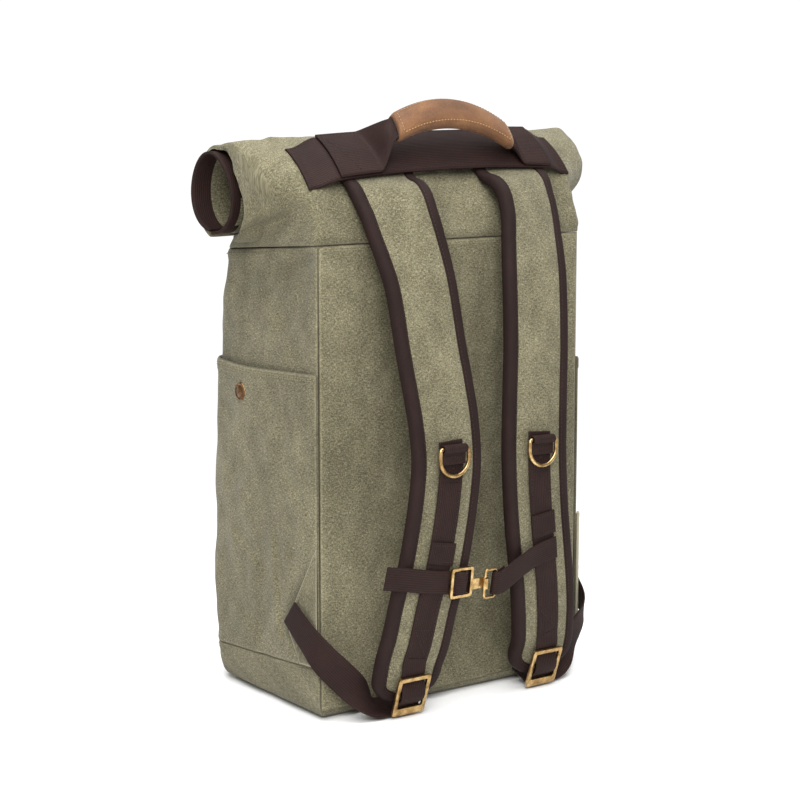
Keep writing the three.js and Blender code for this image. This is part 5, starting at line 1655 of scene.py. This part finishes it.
def back_band():
    """The brown band, with turned edges and ribs along its length."""
    share, x = np.meshgrid(np.linspace(0, 1, 26), np.linspace(-BAND_END, BAND_END, 150), indexing="ij")
    edge = np.minimum(share, 1 - share) * BAND_WIDTH
    swell = 0.25 * np.exp(-((edge - 2) / 1.6) ** 2) - 0.6 * np.exp(-(edge / 0.7) ** 2)
    outer, inner = band_point(x, share, BAND_THICKNESS + swell), band_point(x, share, 0.0)
    piece = wall("back_band_tape", np.swapaxes(outer, 0, 1), np.swapaxes(inner, 0, 1), WEBBING_FINISH)
    for s in (0.05, 0.95):
        run = np.linspace(-BAND_END + 3, BAND_END - 3, 160)
        line = band_point(run, s, BAND_THICKNESS + 0.25)
        stitch("brown", line, band_point(run, s, 8.0) - line, **FINE)
    return dress(piece, "webbing", "back_band")


def grip_middle(x):
    """The middle line of the handle: an arch off the band that hangs a little to the right."""
    root = band_point(0.0, 0.5, BAND_THICKNESS)
    rise = GRIP_RISE * (1 - ((x - GRIP_SHIFT) / (GRIP_LENGTH / 2)) ** 2) - GRIP_SLOPE * x
    return np.stack([x, np.full_like(x, root[1] - GRIP_STAND), root[2] + GRIP_LIFT + rise], axis=-1)


def grip_place(x, y, z):
    """A place beside the middle line, so far towards the bag and up, leaned back over the roll."""
    lean_y = y * math.cos(GRIP_LEAN) + z * math.sin(GRIP_LEAN)
    lean_z = z * math.cos(GRIP_LEAN) - y * math.sin(GRIP_LEAN)
    offset = np.stack(np.broadcast_arrays(0 * lean_y, lean_y, lean_z), axis=-1)
    return grip_middle(x + 0 * lean_y) + offset


GRIP_OVERLAP = 6.0
GRIP_END = GRIP_LENGTH / 2 - GRIP_OVERLAP
GRIP_LEATHER = 2.6
CORE_HEIGHT = GRIP_HEIGHT - 2 * GRIP_LEATHER - 1
CORE_DEPTH = 4.0
LOOP_BULGE = 5.0


def handle_webbing():
    """Webbing sewn flat on the band at both ends, then gathered and lifted into the grip."""
    x, share = np.meshgrid(np.linspace(-ROOT_END, ROOT_END, 190), np.linspace(0, 1, 22), indexing="ij")
    past = np.abs(x) - (GRIP_END + np.sign(x) * GRIP_SHIFT)
    free = (1 - smooth(past, 1, HANDLE_LANDING))[..., None]
    held = x - np.sign(x) * np.maximum(0, past - GRIP_OVERLAP / 3)

    def layer(face):
        """One face of the webbing: flat on the band, blended into the core of the grip."""
        flat = band_point(x, 0.02 + 0.96 * share, BAND_THICKNESS + 2 * LAYER_GAP + face * WEBBING)
        core = grip_place(held, (0.5 - face) * CORE_DEPTH, (share - 0.5) * CORE_HEIGHT)
        core[..., 0] = x
        arch = (np.sin(PI * free[..., 0]) * np.sin(PI * share))[..., None]
        return flat * (1 - free) + core * free + arch * np.array([0.0, -LOOP_BULGE, 1.5])

    outer, inner = layer(1.0), layer(0.0)
    piece = wall("handle_tape", outer, inner, WEBBING_FINISH)
    top = BAND_THICKNESS + 2 * LAYER_GAP + WEBBING
    for sign in (-1, 1):
        landing = GRIP_END + sign * GRIP_SHIFT + HANDLE_LANDING + 1.5
        far = ROOT_END - 3
        corners = [(far, 0.06), (far, 0.94), (landing, 0.94), (landing, 0.06), (far, 0.06)]
        vee = [(far - 1, 0.93), ((landing + far) / 2, 0.1), (landing + 1, 0.93)]
        for line_points in (corners, vee):
            for (x0, s0), (x1, s1) in zip(line_points[:-1], line_points[1:]):
                t = np.linspace(0, 1, 24)
                run, s = sign * (x0 + (x1 - x0) * t), s0 + (s1 - s0) * t
                line = band_point(run, s, top)
                stitch("brown", line, band_point(run, s, top + 6) - line, **BOLD)
    return dress(piece, "webbing", "handle_webbing")


def handle_grip():
    """Leather wrapped round the handle: an oval section, crowned outwards, open at both ends."""
    along = np.linspace(-GRIP_END, GRIP_END, 90)
    x = along + GRIP_SHIFT
    turn = np.linspace(0, 2 * PI, 56, endpoint=False)
    power = 0.72
    cosine, sine = np.cos(turn), np.sin(turn)
    unit_y = np.sign(cosine) * np.abs(cosine) ** power
    unit_z = np.sign(sine) * np.abs(sine) ** power
    lip = 1 - 0.1 * np.exp(-((GRIP_END - np.abs(along)) / 1.6) ** 2)
    crown = 1 + 0.05 * np.cos(PI * along / (2 * GRIP_END))

    def layer(deep, tall, ease):
        """One face of the leather: an oval so deep and tall, eased along the handle."""
        y = unit_y[None] * (deep / 2) * ease[:, None]
        z = unit_z[None] * (tall / 2) * ease[:, None]
        return grip_place(x[:, None], y, z)

    outer = layer(GRIP_DEPTH, GRIP_HEIGHT, lip * crown)
    inner = layer(CORE_DEPTH + 1.4, CORE_HEIGHT + 1.4, np.ones_like(x))
    piece = wall("grip_leather_wrap", outer, inner, LEATHER_FINISH, closed=True)

    def face(rise):
        """How far the oval's outer face stands off at a share of its height."""
        return -(1 - np.abs(rise) ** (2 / power)) ** (power / 2) * GRIP_DEPTH / 2

    def outward(rise):
        """The direction out of the oval at a share of its height, leaned with the grip."""
        cosine, sine = math.cos(GRIP_LEAN), math.sin(GRIP_LEAN)
        return (0, -0.8 * cosine + rise * sine, rise * cosine + 0.8 * sine)

    for rise in (-0.76, 0.76):
        run, swell = x[3:-3], crown[3:-3]
        line = grip_place(run, face(rise) * swell, rise * GRIP_HEIGHT / 2 * swell)
        stitch("leather", line, outward(rise), **LEATHER_STITCH, lift=0.12)
    for end in (-GRIP_END + 3.4, GRIP_END - 3.4):
        rise = np.linspace(-0.72, 0.72, 16)
        line = grip_place(np.full(16, end + GRIP_SHIFT), face(rise), rise * GRIP_HEIGHT / 2)
        stitch("leather", line, outward(0.0), **LEATHER_STITCH, lift=0.15)
    return dress(piece, "leather", "handle_grip")


CLOSURE_WIDTH = 25.0
CLOSURE_HEIGHTS = (300.0, 326.0, 351.0, 370.0)
CLOSURE_ROLL_Z = 438


def closure_strap():
    """The plain strap that holds the roll down at the front."""
    off = WEBBING / 2 + LAYER_GAP * 2

    def station(place):
        """A station of the strap, with its width along X."""
        return (place, (1.0, 0, 0), CLOSURE_WIDTH, WEBBING)

    def on_front(z):
        """A station on the middle of the front wall."""
        return station(np.array([0, front_point(0.5, z, off)[1], z]))

    def on_roll(turn):
        """A station on the roll, at a turn."""
        return station(np.array([0, *winding(turn, -2 * off)]))

    roll_turn = math.asin((CLOSURE_ROLL_Z - ROLL_Z) / ROLL_RADIUS_Z)
    over_seam = np.array([0, float(front_reach(BODY_HEIGHT)) + off + 2, BODY_HEIGHT + 2])
    stations = [on_front(z) for z in CLOSURE_HEIGHTS + (BODY_HEIGHT - 6,)]
    stations += [station(over_seam), on_roll(roll_turn - 0.45), on_roll(roll_turn - 0.1),
                 on_roll(roll_turn + 0.25)]
    ribbon("closure_tape", stations, 110, "closure_strap")


back_band()
handle_webbing()
handle_grip()
closure_strap()


SEAM_STITCH = 4.2


def seam_stitches():
    """A row of stitches below the main seam, along the back and both sides."""
    x = np.linspace(-HALF_WIDTH + 5, HALF_WIDTH - 5, 180)
    z = seam_height(x, np.full_like(x, -HALF_DEPTH)) - SEAM_STITCH
    stitch("canvas", np.stack([x, np.full_like(x, -HALF_DEPTH - 0.45), z], 1), (0, -1, 0))
    for side in (-1, 1):
        share = np.linspace(0.04, 0.96, 120)
        p = side_point(side, share, BODY_HEIGHT - 6, 0.5)
        z = seam_height(p[:, 0], p[:, 1]) - SEAM_STITCH
        outwards = side_point(side, share, z, 4.0) - side_point(side, share, z, 0.0)
        stitch("canvas", side_point(side, share, z, 0.5), outwards)


seam_stitches()
sew_stitches("canvas", "canvas_stitches", CANVAS_THREAD, "canvas")
sew_stitches("brown", "webbing_stitches", BROWN_THREAD, "webbing")
sew_stitches("leather", "leather_stitches", LEATHER_THREAD, "leather")

# Studio

# The lamps: name, place in metres, size and power, and the point they face.
LAMPS = (("softbox", (-0.2, -0.3, 1.9), 1.8, 48), ("key", (-1.35, -1.9, 1.6), 1.2, 54))
LAMP_AIM = (0, 0, 0.22)


def studio():
    """A white sweep that rises behind the bag, a softbox above and a key at the left."""
    ahead, aside = np.array([0.595, 0.804]), np.array([0.804, -0.595])
    turn = np.linspace(0, PI / 2, 13)
    bend_start, bend = 1.6, 1.2
    profile = np.concatenate([
        np.linspace([-4.0, 0.0], [bend_start, 0.0], 12)[:-1],
        np.stack([bend_start + bend * np.sin(turn), bend - bend * np.cos(turn)], axis=1),
        [[bend_start + bend, 3.4]],
    ])
    wide = np.array([-4.5, 4.5])
    flat = profile[:, None, :1] * ahead + wide[None, :, None] * aside
    grid = np.concatenate([flat, np.broadcast_to(profile[:, None, 1:], flat[..., :1].shape)], axis=-1)
    faces, _, _ = quads(len(profile), 2, False)
    sweep_mesh = bpy.data.meshes.new("studio_sweep")
    sweep_mesh.from_pydata(grid.reshape(-1, 3).tolist(), [], faces[:, ::-1].tolist())
    sweep_mesh.polygons.foreach_set("use_smooth", np.ones(len(faces), dtype=bool))
    floor = bpy.data.objects.new("studio_sweep", sweep_mesh)
    n = Nodes("studio_white")
    n.shader.inputs["Base Color"].default_value = (0.98, 0.98, 0.98, 1)
    n.shader.inputs["Roughness"].default_value = 1.0
    n.shader.inputs["Specular IOR Level"].default_value = 0.0
    place = n.add("TexCoord").outputs["Object"]
    reach = n.add("VectorMath", {0: place}, operation="LENGTH").outputs["Value"]
    glow = n.add("MapRange", {"Value": reach, "From Min": 0.45, "From Max": 1.4},
                 interpolation_type="SMOOTHSTEP")
    bright = n.add("Emission", {"Color": (1, 1, 1, 1), "Strength": 1.05})
    both = n.add("MixShader", {0: glow.outputs["Result"], 1: n.shader.outputs[0], 2: bright.outputs[0]})
    n.put(both.outputs[0], n.tree.nodes["Material Output"].inputs["Surface"])
    sweep_mesh.materials.append(n.material)
    bpy.context.collection.objects.link(floor)
    floor.location.z = -0.0006

    world = bpy.data.worlds.new("studio")
    world.use_nodes = True
    world.node_tree.nodes["Background"].inputs["Color"].default_value = (1, 1, 1, 1)
    world.node_tree.nodes["Background"].inputs["Strength"].default_value = 0.4
    bpy.context.scene.world = world
    bpy.context.scene.view_settings.view_transform = "Standard"

    for name, place, size, power in LAMPS:
        light = bpy.data.lights.new(name, "AREA")
        light.energy, light.size = power, size
        lamp = bpy.data.objects.new(name, light)
        lamp.location = place
        lamp.rotation_mode = "QUATERNION"
        lamp.rotation_quaternion = (Vector(LAMP_AIM) - Vector(place)).to_track_quat("-Z", "Y")
        bpy.context.collection.objects.link(lamp)


def photo_camera():
    """The photograph's viewpoint, on the strap side and to its left, just above the bag's middle."""
    azimuth, drop = math.radians(36.54), math.radians(6.7)
    camera = bpy.data.cameras.new("photo")
    sensor, focal_pixels, wide_pixels = 36.0, 1662.0, 800.0
    camera.sensor_width, camera.lens = sensor, focal_pixels / wide_pixels * sensor
    camera.clip_start, camera.clip_end = 0.05, 30.0
    view = bpy.data.objects.new("photo", camera)
    view.location = (-0.8783, -1.1972, 0.423)
    ahead = Vector((math.sin(azimuth) * math.cos(drop), math.cos(azimuth) * math.cos(drop), -math.sin(drop)))
    view.rotation_mode = "QUATERNION"
    view.rotation_quaternion = ahead.to_track_quat("-Z", "Y")
    bpy.context.collection.objects.link(view)
    bpy.context.scene.camera = view


studio()
photo_camera()
